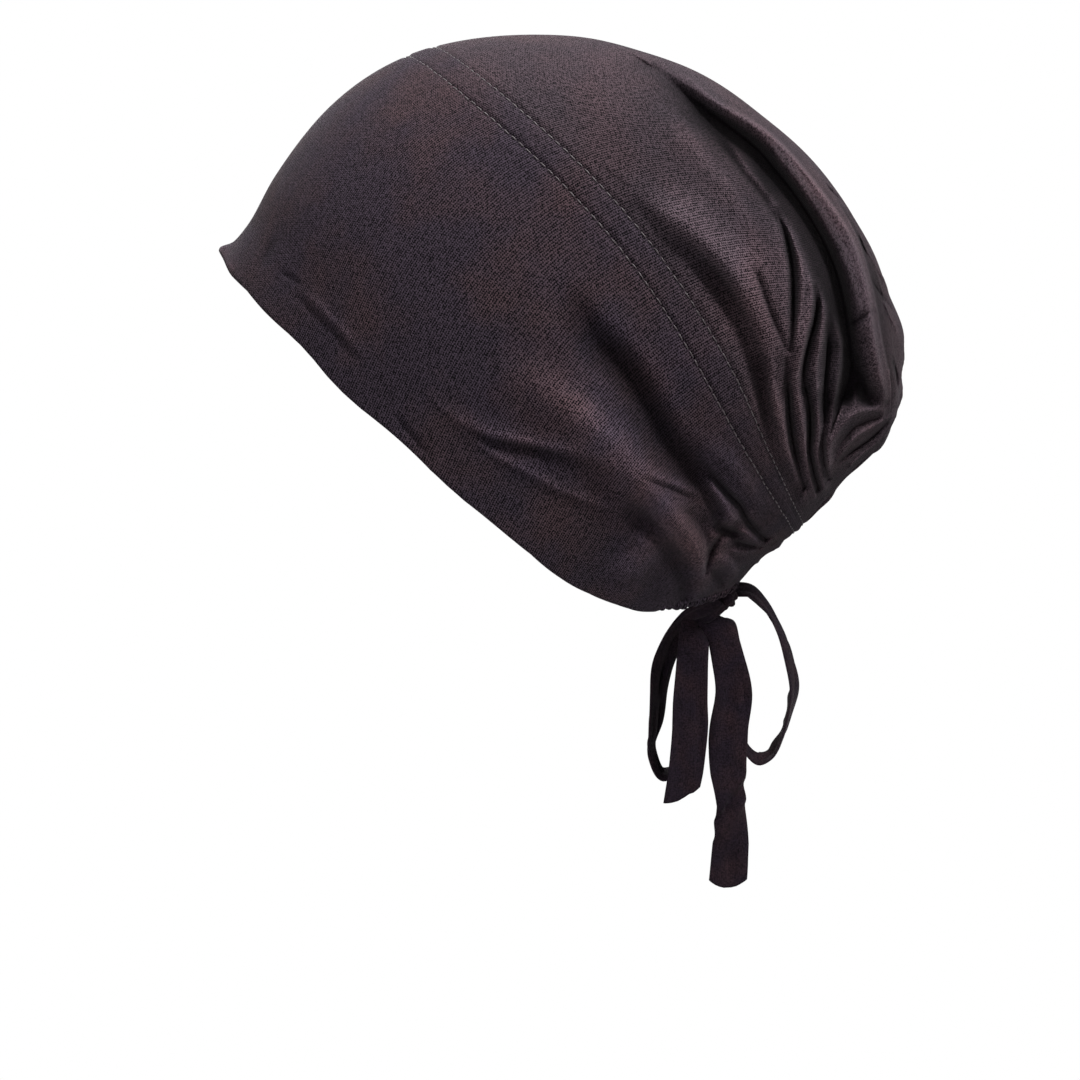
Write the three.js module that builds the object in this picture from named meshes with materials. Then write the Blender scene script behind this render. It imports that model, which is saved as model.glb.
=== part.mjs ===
// Tie-back underscarf cap: a soft jersey bonnet with a smooth front band, a slouchy gathered crown,
// a drawstring casing at the nape and two flat ties in a bow.
// Millimetres, +Z up, the face opening looks along -Y, the wearer's left is +X.
// The origin is where the crown rests on the top of the head.
import * as THREE from 'three';

// Overall sizes
const capLength = 205;        // front tip to the back of the crown bag
const capDepth = 165;         // top of the head to the edge at the nape
const capWidth = 154;         // across the widest part of the front band

// Cloth
const bandWall = 2.0;         // doubled jersey with its hem
const stripWall = 2.2;        // the overlapped seam
const crownWall = 1.6;
const stripRise = 0.3;        // how far the sewn strip stands proud
const seamGap = 0.3;          // clearance between sewn pieces

// Seam strip
const stripWidth = 7.8;       // between the two stitch rows at the top
const stripNapeShare = 0.55;  // the strip's width at the nape, as a share

// Drawstring casing
const casingHeight = 3.6;
const casingThickness = 3.2;
const casingPucker = 0.35;    // height of its gathers
const casingStart = 0.70;     // where it starts, in half turns from the top
const casingTaper = 0.08;     // the half turns over which it reaches its height

// Gathers near the nape
const gatherHeight = 1.5;
const gatherCount = 26;       // pleats round the whole seam
const gatherReach = 26;       // how far they run from the nape's middle, as a length

// Ties and bow
const tieWidth = 12;
const tieThickness = 1.6;
const knotWidth = 11.4;
const knotLength = 9;
const knotHeight = 9;
const knotDrop = 5.7;         // knot centre below the casing's centre line
const knotForward = 3.2;      // knot centre in front of it
const knotWaist = 0.12;       // how far its middle is drawn in, as a share

// Mesh fineness
const turnSteps = 56;
const napeCrowding = 0.45;    // 0 spaces the columns evenly
const bandSteps = 11;
const stripSteps = 2;
const crownSteps = 24;
const casingSteps = 44;
const casingSides = 8;
const tieSteps = 44;
const knotSides = 14;
const knotRings = 10;
const courseSteps = 14;       // samples along a fold
const bagClosure = 0.05;      // how far before the last hoop the bag's cloth closes
const pinchFrom = 0.6;        // share down a hoop's chord where the nape's pinch begins
const pinchFull = 1.05;       // and where it is full
const slopeStep = 0.004;      // step that a slope of the cloth is taken over
const lengthRounds = 6;       // rounds for finding a length along the cloth

// The hoops that the cloth runs through, from the face edge to the closed back of the bag.
// at: place along the cap, in lengths of the band's top line. Lengths in y are shares of capLength,
// lengths in z and the three bows are shares of capDepth, and half is a share of half the capWidth.
// top and nape are the hoop's ends on the centre line, square makes it boxier, widest is where along
// the chord it is widest, swell, skew and wave bow it out of its plane, and pinch draws it in at the nape.
const hoopColumns = [
  'at', 'topY', 'topZ', 'napeY', 'napeZ', 'half', 'square', 'widest', 'swell', 'skew', 'wave', 'pinch',
];
const hoops = {
  rim: [0.00, -0.473, -0.361, 0.293, -0.995, 0.974, 0.000, 0.56, -0.087, 0.046, -0.030, 0.34],
  brow: [0.14, -0.437, -0.313, 0.305, -0.976, 0.987, 0.010, 0.55, -0.058, 0.039, -0.012, 0.33],
  forehead: [0.34, -0.395, -0.230, 0.324, -0.948, 1.000, 0.015, 0.54, -0.033, 0.033, -0.006, 0.31],
  dome: [0.66, -0.309, -0.106, 0.356, -0.912, 0.987, 0.020, 0.53, 0.009, 0.024, -0.006, 0.28],
  seam: [1.00, -0.201, -0.024, 0.381, -0.890, 0.935, 0.025, 0.52, 0.047, 0.011, -0.006, 0.24],
  crown: [1.49, -0.005, 0.010, 0.408, -0.853, 0.883, 0.025, 0.50, 0.067, 0.009, 0.000, 0.20],
  slope: [1.93, 0.167, -0.031, 0.437, -0.805, 0.818, 0.025, 0.50, 0.061, 0.003, 0.000, 0.16],
  roll: [2.33, 0.305, -0.125, 0.470, -0.764, 0.695, 0.020, 0.50, 0.030, 0.000, 0.000, 0.12],
  back: [2.70, 0.417, -0.257, 0.502, -0.725, 0.570, 0.020, 0.50, 0.004, 0.000, 0.000, 0.08],
  drop: [3.05, 0.488, -0.395, 0.518, -0.682, 0.420, 0.010, 0.50, -0.010, 0.000, 0.000, 0.04],
  close: [3.30, 0.529, -0.497, 0.527, -0.625, 0.230, 0.010, 0.50, -0.006, 0.000, 0.000, 0.00],
  end: [3.45, 0.537, -0.564, 0.537, -0.564, 0.000, 0.000, 0.50, 0.000, 0.000, 0.000, 0.00],
};

// The main folds. Each runs from one point over a second to a third: hoop is the place along the cap
// and turn the half turns from the top. side 1 is the wearer's left, -1 the right, 0 both.
// height is a share of foldHeight, below zero for a valley, and width a share of foldWidth.
const foldHeight = 7;
const foldWidth = 10;
const foldEndFade = 0.12;     // how much of its height a fold keeps at its ends, as a share of half a wave
const foldColumns = ['side', 'hoop1', 'hoop2', 'hoop3', 'turn1', 'turn2', 'turn3', 'height', 'width'];
const folds = {
  firstRidge: [0, 1.12, 1.33, 1.36, 0.39, 0.49, 0.60, 0.45, 0.75],
  seamValley: [0, 1.10, 1.28, 1.16, 0.43, 0.55, 0.68, -0.35, 0.60],
  crownPleat: [0, 1.74, 1.75, 1.50, 0.36, 0.48, 0.61, 0.30, 0.50],
  innerPleat: [0, 1.68, 1.60, 1.40, 0.52, 0.60, 0.72, -0.45, 0.50],
  mainValleyLeft: [1, 1.66, 1.93, 1.80, 0.22, 0.45, 0.66, -0.90, 0.80],
  mainValleyRight: [-1, 1.60, 1.88, 1.74, 0.10, 0.42, 0.64, -0.85, 0.90],
  bigRollLeft: [1, 2.00, 2.30, 2.44, 0.22, 0.42, 0.64, 0.50, 1.20],
  bigRollRight: [-1, 2.05, 2.24, 2.30, 0.16, 0.42, 0.66, 0.45, 1.20],
  deepPocket: [0, 2.02, 2.16, 2.45, 0.60, 0.65, 0.66, -0.85, 0.80],
  hammock: [0, 1.74, 2.05, 2.50, 0.71, 0.74, 0.80, 0.50, 0.70],
  outerLayer: [0, 2.70, 2.95, 3.05, 0.20, 0.45, 0.62, -0.55, 0.90],
  backPocket: [0, 3.05, 3.20, 2.95, 0.52, 0.62, 0.74, -0.60, 0.80],
  longBandRidge: [0, 0.42, 0.47, 0.30, 0.47, 0.60, 0.72, 0.40, 1.00],
  longBandValley: [0, 0.72, 0.76, 0.72, 0.52, 0.62, 0.74, -0.45, 0.80],
  lowBandValley: [0, 0.40, 0.34, 0.14, 0.60, 0.67, 0.75, -0.40, 0.60],
  crispBandRidge: [0, 0.16, 0.28, 0.58, 0.43, 0.50, 0.63, 0.25, 0.50],
  napeLobe: [0, 0.60, 0.64, 0.64, 0.64, 0.68, 0.72, 0.40, 0.60],
  napePocket: [0, 0.52, 0.46, 0.38, 0.73, 0.76, 0.80, -0.55, 0.70],
  napeRoll: [0, 0.22, 0.40, 0.62, 0.80, 0.86, 0.92, 0.35, 0.70],
};

// The ties' routes, chosen by hand. edge is the way the flat tie's width points, in degrees
// from the wearer's left towards the back or up along the route's side.
const leftRoute = [
  { x: 9.0, y: 55.5, z: -168.0, edge: 60 },
  { x: 8.6, y: 51.0, z: -171.5, edge: 60 },
  { x: 6.0, y: 44.5, z: -174.5, edge: 40 },
  { x: 2.5, y: 39.5, z: -180.0, edge: 25 },
  { x: -1.0, y: 36.8, z: -190.0, edge: 22 },
  { x: -2.0, y: 35.5, z: -201.0, edge: 22 },
  { x: -2.5, y: 35.2, z: -212.0, edge: 22 },
  { x: -2.5, y: 36.2, z: -222.0, edge: 12 },
  { x: -2.5, y: 39.6, z: -228.8, edge: 0 },
  { x: -2.5, y: 43.6, z: -227.0, edge: -12 },
  { x: -2.5, y: 45.4, z: -217.4, edge: -18 },
  { x: -2.5, y: 46.6, z: -203.7, edge: -18 },
  { x: -2.0, y: 48.0, z: -190.0, edge: -10 },
  { x: 0.5, y: 48.6, z: -181.5, edge: 0 },
  { x: 4.5, y: 48.4, z: -178.4, edge: 20 },
  { x: 8.6, y: 47.6, z: -181.5, edge: 60 },
  { x: 10.2, y: 46.7, z: -190.0, edge: 88 },
  { x: 10.2, y: 46.4, z: -200.0, edge: 92 },
  { x: 10.0, y: 46.6, z: -210.0, edge: 90 },
  { x: 10.0, y: 45.8, z: -220.0, edge: 86 },
  { x: 10.0, y: 44.2, z: -233.2, edge: 84 },
];
const rightRoute = [
  { x: -8.6, y: 62.4, z: -167.6, edge: 20 },
  { x: -8.0, y: 67.8, z: -168.4, edge: 15 },
  { x: -7.0, y: 72.4, z: -172.9, edge: 12 },
  { x: -6.0, y: 77.0, z: -180.3, edge: 12 },
  { x: -6.0, y: 81.0, z: -191.2, edge: 18 },
  { x: -6.0, y: 82.7, z: -201.4, edge: 24 },
  { x: -6.0, y: 81.4, z: -209.4, edge: 20 },
  { x: -6.0, y: 79.5, z: -217.0, edge: 16 },
  { x: -6.0, y: 75.7, z: -223.6, edge: 8 },
  { x: -5.5, y: 70.6, z: -225.0, edge: 0 },
  { x: -5.5, y: 67.2, z: -221.0, edge: -8 },
  { x: -5.5, y: 65.6, z: -212.5, edge: -14 },
  { x: -5.5, y: 63.6, z: -200.5, edge: -14 },
  { x: -4.5, y: 60.6, z: -188.5, edge: -8 },
  { x: -2.0, y: 58.2, z: -181.0, edge: 0 },
  { x: 1.5, y: 57.6, z: -178.4, edge: 20 },
  { x: 5.0, y: 58.2, z: -181.5, edge: 55 },
  { x: 6.0, y: 59.6, z: -189.0, edge: 85 },
  { x: 6.0, y: 60.8, z: -198.2, edge: 92 },
  { x: 6.0, y: 59.6, z: -211.6, edge: 92 },
  { x: 6.0, y: 59.6, z: -221.8, edge: 88 },
  { x: 6.0, y: 60.7, z: -233.8, edge: 80 },
  { x: 6.0, y: 61.3, z: -245.9, edge: 88 },
  { x: 6.0, y: 60.9, z: -256.4, edge: 92 },
  { x: 6.0, y: 60.5, z: -265.5, edge: 92 },
];

const cloth = {
  band: new THREE.MeshStandardMaterial({ color: 0x3a3138, roughness: 0.9, metalness: 0 }),
  strip: new THREE.MeshStandardMaterial({ color: 0x40373c, roughness: 0.9, metalness: 0 }),
  crown: new THREE.MeshStandardMaterial({ color: 0x463c41, roughness: 0.88, metalness: 0 }),
  tie: new THREE.MeshStandardMaterial({ color: 0x2b2329, roughness: 0.92, metalness: 0 }),
};

// The rows of a table, each with its values under the names of the columns.
function readTable(columns, rows) {
  return Object.values(rows).map((row) => Object.fromEntries(columns.map((column, i) => [column, row[i]])));
}

const hoopSizes = readTable(hoopColumns, hoops).map((hoop) => ({
  at: hoop.at,
  values: [
    hoop.topY * capLength,
    hoop.topZ * capDepth,
    hoop.napeY * capLength,
    hoop.napeZ * capDepth,
    hoop.half * capWidth / 2,
    hoop.square,
    hoop.widest,
    hoop.swell * capDepth,
    hoop.skew * capDepth,
    hoop.wave * capDepth,
    hoop.pinch,
  ],
}));
const lastAt = hoopSizes[hoopSizes.length - 1].at;

// Slope of a hoop value at a row, weighted by the spacing of its neighbours.
function hoopSlope(row, column) {
  const before = Math.max(row - 1, 0);
  const after = Math.min(row + 1, hoopSizes.length - 1);
  const rise = (low, high) => (hoopSizes[high].values[column] - hoopSizes[low].values[column])
    / (hoopSizes[high].at - hoopSizes[low].at);
  if (before === row) {
    return rise(row, after);
  }
  if (after === row) {
    return rise(before, row);
  }
  const stepBefore = hoopSizes[row].at - hoopSizes[before].at;
  const stepAfter = hoopSizes[after].at - hoopSizes[row].at;
  return (rise(before, row) * stepAfter + rise(row, after) * stepBefore) / (stepBefore + stepAfter);
}

// The values of the hoop at any place along the cap.
function hoopAt(place) {
  const at = THREE.MathUtils.clamp(place, 0, lastAt);
  let row = 0;
  while (row < hoopSizes.length - 2 && at > hoopSizes[row + 1].at) {
    row += 1;
  }
  const step = hoopSizes[row + 1].at - hoopSizes[row].at;
  const t = (at - hoopSizes[row].at) / step;
  const startWeight = 2 * t ** 3 - 3 * t ** 2 + 1;
  const startSlopeWeight = (t ** 3 - 2 * t ** 2 + t) * step;
  const endSlopeWeight = (t ** 3 - t ** 2) * step;
  return hoopSizes[row].values.map((value, column) => startWeight * value
    + startSlopeWeight * hoopSlope(row, column)
    + (1 - startWeight) * hoopSizes[row + 1].values[column]
    + endSlopeWeight * hoopSlope(row + 1, column));
}

// A point of the smooth cloth. turn counts half turns from the top, over the wearer's left.
function smoothPoint(place, turn) {
  const [topY, topZ, napeY, napeZ, half, square, widest, swell, skew, wave, pinch] = hoopAt(place);
  const angle = turn * Math.PI;
  const across = (Math.sin(angle) + square * Math.sin(3 * angle)) / (1 - square);
  const along = (Math.cos(angle) - square * Math.cos(3 * angle)) / (1 - square);
  const share = 0.5 - 0.5 * along + (widest - 0.5) * Math.sin(angle) ** 2;
  const chord = new THREE.Vector3(0, napeY - topY, napeZ - topZ);
  const bow = swell * Math.sin(Math.PI * share)
    + skew * Math.sin(2 * Math.PI * share)
    + wave * Math.sin(3 * Math.PI * share);
  const out = new THREE.Vector3(0, -chord.z, chord.y).normalize();
  const drawnIn = 1 - pinch * THREE.MathUtils.smoothstep(share, pinchFrom, pinchFull);
  return new THREE.Vector3(half * across * drawnIn, topY, topZ)
    .addScaledVector(chord, share)
    .addScaledVector(out, bow);
}

// The cloth's outward direction.
function clothNormal(place, turn) {
  const near = Math.min(place, lastAt - 3 * slopeStep);
  const along = smoothPoint(near + slopeStep, turn).sub(smoothPoint(Math.max(near - slopeStep, 0), turn));
  const round = smoothPoint(near, turn + slopeStep).sub(smoothPoint(near, turn - slopeStep));
  return round.cross(along).normalize();
}

// The place that lies a length behind another along the cloth.
function placeBehind(place, turn, length) {
  let at = place;
  const direction = Math.sign(length);
  for (let round = 0; round < lengthRounds; round += 1) {
    const reached = smoothPoint(place, turn).distanceTo(smoothPoint(at, turn)) * direction;
    const speed = smoothPoint(at + slopeStep, turn).distanceTo(smoothPoint(at, turn)) / slopeStep;
    at += (length - reached) / speed;
  }
  return at;
}

// Half turns from the top, between 0 and 1, on either side.
function halfTurn(turn) {
  const wrapped = ((turn % 2) + 2) % 2;
  return wrapped > 1 ? 2 - wrapped : wrapped;
}

// Each fold's course over the cloth, as points in space. It fades towards both of its ends.
function foldCourse(fold, side) {
  const points = [];
  for (let step = 0; step <= courseSteps; step += 1) {
    const t = step / courseSteps;
    const start = (1 - t) * (1 - 2 * t);
    const middle = 4 * t * (1 - t);
    const end = t * (2 * t - 1);
    const place = start * fold.hoop1 + middle * fold.hoop2 + end * fold.hoop3;
    const turn = start * fold.turn1 + middle * fold.turn2 + end * fold.turn3;
    const fade = Math.sin(Math.PI * THREE.MathUtils.lerp(foldEndFade, 1 - foldEndFade, t));
    points.push({ point: smoothPoint(place, side * turn), fade });
  }
  return { points, height: fold.height * foldHeight, width: fold.width * foldWidth };
}

const foldCourses = readTable(foldColumns, folds)
  .flatMap((fold) => (fold.side === 0 ? [1, -1] : [fold.side]).map((side) => foldCourse(fold, side)));

// How far the folds and gathers lift the cloth at a point.
function foldLift(place, turn) {
  const here = smoothPoint(place, turn);
  let lift = 0;
  for (const course of foldCourses) {
    let best = Infinity;
    let fade = 0;
    for (const sample of course.points) {
      const distance = sample.point.distanceTo(here);
      if (distance < best) {
        best = distance;
        fade = sample.fade;
      }
    }
    lift += course.height * fade * Math.exp(-((best / course.width) ** 2));
  }
  const nape = smoothPoint(1, 1);
  const closeness = Math.exp(-((here.distanceTo(nape) / gatherReach) ** 2));
  return lift + gatherHeight * closeness * Math.cos(gatherCount * Math.PI * turn);
}

// A point of the folded cloth, a depth below its outer face.
function clothPoint(place, turn, depth) {
  const normal = clothNormal(place, turn);
  return smoothPoint(place, turn).addScaledVector(normal, foldLift(place, turn) - depth);
}

// One closed body from triangles that share their points.
function bodyFrom(points, triangles) {
  const geometry = new THREE.BufferGeometry();
  const numbers = points.flatMap((point) => [point.x, point.y, point.z]);
  geometry.setAttribute('position', new THREE.Float32BufferAttribute(numbers, 3));
  geometry.setIndex(triangles);
  geometry.computeVertexNormals();
  return geometry;
}

// The turn of each column of points, closer together towards the nape where the cloth is gathered.
const turns = Array.from({ length: turnSteps }, (unused, i) => {
  const even = 2 * i / turnSteps;
  return even + napeCrowding * Math.sin(Math.PI * even) / Math.PI;
});

// Joins two rings of points, listed from first and second, with a band of triangles.
function stitchRings(triangles, first, second, count) {
  for (let i = 0; i < count; i += 1) {
    const next = (i + 1) % count;
    triangles.push(first + i, second + next, second + i);
    triangles.push(first + i, first + next, second + next);
  }
}

// A ring of cloth between two edges that may vary round the cap: an outer and an inner face with a wall.
function clothRing(startOf, endOf, steps, wall, rise) {
  const points = [];
  const triangles = [];
  const rings = 2 * (steps + 1);
  for (let ring = 0; ring < rings; ring += 1) {
    const inner = ring > steps;
    const share = (inner ? rings - 1 - ring : ring) / steps;
    for (const turn of turns) {
      const place = THREE.MathUtils.lerp(startOf(turn), endOf(turn), share);
      points.push(clothPoint(place, turn, inner ? wall : -rise));
    }
  }
  for (let ring = 0; ring < rings; ring += 1) {
    stitchRings(triangles, ring * turnSteps, ((ring + 1) % rings) * turnSteps, turnSteps);
  }
  return bodyFrom(points, triangles);
}

// The crown: as a ring of cloth, closed at the back of the bag.
function clothBag(startOf, steps, wall) {
  const points = [];
  const triangles = [];
  for (const depth of [0, wall]) {
    for (let ring = 0; ring < steps; ring += 1) {
      for (const turn of turns) {
        const place = THREE.MathUtils.lerp(startOf(turn), lastAt - bagClosure, ring / (steps - 1));
        points.push(clothPoint(place, turn, depth));
      }
    }
  }
  const innerStart = steps * turnSteps;
  for (let ring = 0; ring < steps - 1; ring += 1) {
    stitchRings(triangles, ring * turnSteps, (ring + 1) * turnSteps, turnSteps);
    stitchRings(triangles, innerStart + (ring + 1) * turnSteps, innerStart + ring * turnSteps, turnSteps);
  }
  stitchRings(triangles, innerStart, 0, turnSteps);
  const outerLast = (steps - 1) * turnSteps;
  const innerLast = innerStart + outerLast;
  for (const [last, reverse] of [[outerLast, false], [innerLast, true]]) {
    const middle = new THREE.Vector3();
    for (let i = 0; i < turnSteps; i += 1) {
      middle.addScaledVector(points[last + i], 1 / turnSteps);
    }
    points.push(middle);
    const centre = points.length - 1;
    for (let i = 0; i < turnSteps; i += 1) {
      const next = (i + 1) % turnSteps;
      const corners = reverse ? [last + next, last + i] : [last + i, last + next];
      triangles.push(centre, ...corners);
    }
  }
  return bodyFrom(points, triangles);
}

// The casing's height along the band's edge: full at the nape, none in front of casingStart.
function casingAt(turn) {
  return THREE.MathUtils.smoothstep(halfTurn(turn), casingStart, casingStart + casingTaper);
}

const bandStart = (turn) => placeBehind(0, turn, (casingHeight + seamGap) * casingAt(turn));
const stripLength = (turn) => stripWidth * THREE.MathUtils.lerp(1, stripNapeShare, halfTurn(turn) ** 2);
const bandEnd = (turn) => placeBehind(1, turn, -seamGap / 2);
const stripStart = (turn) => placeBehind(1, turn, seamGap / 2);
const stripEnd = (turn) => placeBehind(1, turn, seamGap / 2 + stripLength(turn));
const crownStart = (turn) => placeBehind(1, turn, seamGap * 1.5 + stripLength(turn));

function frontBand() {
  return clothRing(bandStart, bandEnd, bandSteps, bandWall, 0);
}

function seamStrip() {
  return clothRing(stripStart, stripEnd, stripSteps, stripWall, stripRise);
}

function crownBag() {
  return clothBag(crownStart, crownSteps, crownWall);
}

// The centre line of the casing, a little inside the band's outer face.
function casingCentre(turn) {
  const place = placeBehind(0, turn, casingHeight / 2);
  return clothPoint(place, turn, bandWall / 2);
}

// The casing: a flat gathered tube along the edge at the nape, with flat ends.
function napeCasing() {
  const points = [];
  const triangles = [];
  const first = casingStart + casingTaper;
  const last = 2 - first;
  for (let station = 0; station <= casingSteps; station += 1) {
    const turn = THREE.MathUtils.lerp(first, last, station / casingSteps);
    const centre = casingCentre(turn);
    const out = clothNormal(slopeStep, turn);
    const forward = casingCentre(turn + slopeStep).sub(casingCentre(turn - slopeStep)).normalize();
    const down = new THREE.Vector3().crossVectors(out, forward).normalize();
    const pucker = station % 2 === 0 ? -casingPucker : 0;
    for (let side = 0; side < casingSides; side += 1) {
      const angle = 2 * Math.PI * (side + 0.5) / casingSides;
      points.push(centre.clone()
        .addScaledVector(out, Math.cos(angle) * (casingThickness / 2 + pucker))
        .addScaledVector(down, Math.sin(angle) * (casingHeight / 2 + pucker / 2)));
    }
  }
  for (let station = 0; station < casingSteps; station += 1) {
    stitchRings(triangles, (station + 1) * casingSides, station * casingSides, casingSides);
  }
  const lastRing = casingSteps * casingSides;
  for (let side = 1; side < casingSides - 1; side += 1) {
    triangles.push(0, side, side + 1);
    triangles.push(lastRing, lastRing + side + 1, lastRing + side);
  }
  return bodyFrom(points, triangles);
}

// A route whose flat section keeps the way its width points, instead of twisting freely.
class TieRoute extends THREE.CatmullRomCurve3 {
  constructor(rows) {
    super(rows.map((row) => new THREE.Vector3(row.x, row.y, row.z)), false, 'centripetal');
    this.edges = rows.map((row) => row.edge);
  }

  computeFrenetFrames(segments) {
    const frames = { tangents: [], normals: [], binormals: [] };
    const lengths = this.points.map((point, i) => (i === 0 ? 0 : point.distanceTo(this.points[i - 1])));
    const reached = [];
    lengths.reduce((sum, length, i) => {
      reached[i] = sum + length;
      return reached[i];
    }, 0);
    for (let i = 0; i <= segments; i += 1) {
      const along = i / segments * reached[reached.length - 1];
      let row = 0;
      while (row < reached.length - 2 && along > reached[row + 1]) {
        row += 1;
      }
      const share = (along - reached[row]) / (reached[row + 1] - reached[row]);
      const degrees = THREE.MathUtils.lerp(this.edges[row], this.edges[row + 1], share);
      const edge = THREE.MathUtils.degToRad(degrees);
      const tangent = this.getTangentAt(i / segments).normalize();
      const acrossX = new THREE.Vector3(1, 0, 0).addScaledVector(tangent, -tangent.x).normalize();
      const side = new THREE.Vector3().crossVectors(tangent, acrossX).normalize();
      const width = acrossX.clone().multiplyScalar(Math.cos(edge)).addScaledVector(side, Math.sin(edge));
      frames.tangents.push(tangent);
      frames.normals.push(width);
      frames.binormals.push(new THREE.Vector3().crossVectors(tangent, width).normalize());
    }
    return frames;
  }
}

// The tie's flat section with rounded edges.
function tieSection() {
  const section = new THREE.Shape();
  const flat = tieWidth / 2 - tieThickness / 2;
  const half = tieThickness / 2;
  section.moveTo(-flat, -half);
  section.lineTo(flat, -half);
  section.lineTo(tieWidth / 2 - half / 4, -half / 2);
  section.lineTo(tieWidth / 2 - half / 4, half / 2);
  section.lineTo(flat, half);
  section.lineTo(-flat, half);
  section.lineTo(-tieWidth / 2 + half / 4, half / 2);
  section.lineTo(-tieWidth / 2 + half / 4, -half / 2);
  section.closePath();
  return section;
}

function tie(rows) {
  const extrudePath = new TieRoute(rows);
  return new THREE.ExtrudeGeometry(tieSection(), { steps: tieSteps, bevelEnabled: false, extrudePath });
}

// The knot: a small rounded wrap with a waist, under the casing's back centre.
function bowKnot() {
  const geometry = new THREE.SphereGeometry(0.5, knotSides, knotRings);
  const position = geometry.getAttribute('position');
  const centre = casingCentre(1).add(new THREE.Vector3(0, -knotForward, -knotDrop));
  for (let i = 0; i < position.count; i += 1) {
    const point = new THREE.Vector3().fromBufferAttribute(position, i);
    const waist = 1 - knotWaist * Math.cos(4 * Math.PI * point.y);
    position.setXYZ(
      i,
      centre.x + point.x * knotWidth * waist,
      centre.y + point.z * knotLength * waist,
      centre.z - point.y * knotHeight,
    );
  }
  return geometry;
}

function named(name, geometry, material) {
  const mesh = new THREE.Mesh(geometry, material);
  mesh.name = name;
  return mesh;
}

const cap = new THREE.Group();
cap.name = 'underscarf_cap';
cap.add(named('front_band', frontBand(), cloth.band));
cap.add(named('seam_strip', seamStrip(), cloth.strip));
cap.add(named('crown_bag', crownBag(), cloth.crown));
cap.add(named('nape_casing', napeCasing(), cloth.band));
cap.add(named('bow_knot', bowKnot(), cloth.tie));
cap.add(named('tie_left', tie(leftRoute), cloth.tie));
cap.add(named('tie_right', tie(rightRoute), cloth.tie));

export default cap;
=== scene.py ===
import math

import bpy
import numpy as np
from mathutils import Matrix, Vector


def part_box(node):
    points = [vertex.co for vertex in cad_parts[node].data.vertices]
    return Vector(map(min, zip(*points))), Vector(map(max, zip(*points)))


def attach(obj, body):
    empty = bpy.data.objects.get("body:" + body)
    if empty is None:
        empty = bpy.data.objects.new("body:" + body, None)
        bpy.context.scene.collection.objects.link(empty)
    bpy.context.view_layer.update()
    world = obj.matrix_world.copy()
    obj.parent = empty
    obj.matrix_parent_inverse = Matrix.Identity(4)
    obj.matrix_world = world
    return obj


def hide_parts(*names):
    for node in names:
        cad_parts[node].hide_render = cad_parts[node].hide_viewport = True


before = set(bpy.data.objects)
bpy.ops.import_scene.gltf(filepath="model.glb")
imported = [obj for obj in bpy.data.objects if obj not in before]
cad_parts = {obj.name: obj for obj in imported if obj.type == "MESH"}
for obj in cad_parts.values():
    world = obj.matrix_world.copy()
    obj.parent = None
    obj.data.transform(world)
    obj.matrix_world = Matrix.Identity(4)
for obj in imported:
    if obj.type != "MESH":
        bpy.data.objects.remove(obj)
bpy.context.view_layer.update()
print("frame loaded")


# Camera, level with the crown's lower half and looking slightly down at the cap's own left side.
viewPoint = {"place": (0.4136, -0.0015, -0.0770), "target": (0.0, -0.0015, -0.14991), "lens": 43.75,
             "sensor": 36, "nearest": 0.01, "farthest": 20}


def aimedAt(target, place):
    return (Vector(target) - Vector(place)).to_track_quat("-Z", "Y").to_euler()


def makeCamera():
    place = viewPoint["place"]
    bpy.ops.object.camera_add(location=place, rotation=aimedAt(viewPoint["target"], place))
    camera = bpy.context.object
    camera.name = "viewCamera"
    camera.data.lens = viewPoint["lens"]
    camera.data.sensor_width = viewPoint["sensor"]
    camera.data.clip_start, camera.data.clip_end = viewPoint["nearest"], viewPoint["farthest"]
    bpy.context.scene.camera = camera


makeCamera()
print("camera set")


# The cloth runs through these hoops, from the front edge to the closed back of the bag.
# Columns: place, top y, top z, nape y, nape z, half width, squareness, widest, swell, skew, wave, pinch.
capSize = {"length": 0.205, "depth": 0.165, "width": 0.154, "pinchFrom": 0.6, "pinchTo": 1.05}
hoopRows = [
    (0.00, -0.473, -0.361, 0.293, -0.995, 0.974, 0.000, 0.56, -0.087, 0.046, -0.030, 0.34),
    (0.14, -0.437, -0.313, 0.305, -0.976, 0.987, 0.010, 0.55, -0.058, 0.039, -0.012, 0.33),
    (0.34, -0.395, -0.230, 0.324, -0.948, 1.000, 0.015, 0.54, -0.033, 0.033, -0.006, 0.31),
    (0.66, -0.309, -0.106, 0.356, -0.912, 0.987, 0.020, 0.53, 0.009, 0.024, -0.006, 0.28),
    (1.00, -0.201, -0.024, 0.381, -0.890, 0.935, 0.025, 0.52, 0.047, 0.011, -0.006, 0.24),
    (1.49, -0.005, 0.010, 0.408, -0.853, 0.883, 0.025, 0.50, 0.067, 0.009, 0.000, 0.20),
    (1.93, 0.167, -0.031, 0.437, -0.805, 0.818, 0.025, 0.50, 0.061, 0.003, 0.000, 0.16),
    (2.33, 0.305, -0.125, 0.470, -0.764, 0.695, 0.020, 0.50, 0.030, 0.000, 0.000, 0.12),
    (2.70, 0.417, -0.257, 0.502, -0.725, 0.570, 0.020, 0.50, 0.004, 0.000, 0.000, 0.08),
    (3.05, 0.488, -0.395, 0.518, -0.682, 0.420, 0.010, 0.50, -0.010, 0.000, 0.000, 0.04),
    (3.30, 0.529, -0.497, 0.527, -0.625, 0.230, 0.010, 0.50, -0.006, 0.000, 0.000, 0.00),
    (3.45, 0.537, -0.564, 0.537, -0.564, 0.000, 0.000, 0.50, 0.000, 0.000, 0.000, 0.00),
]


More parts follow.
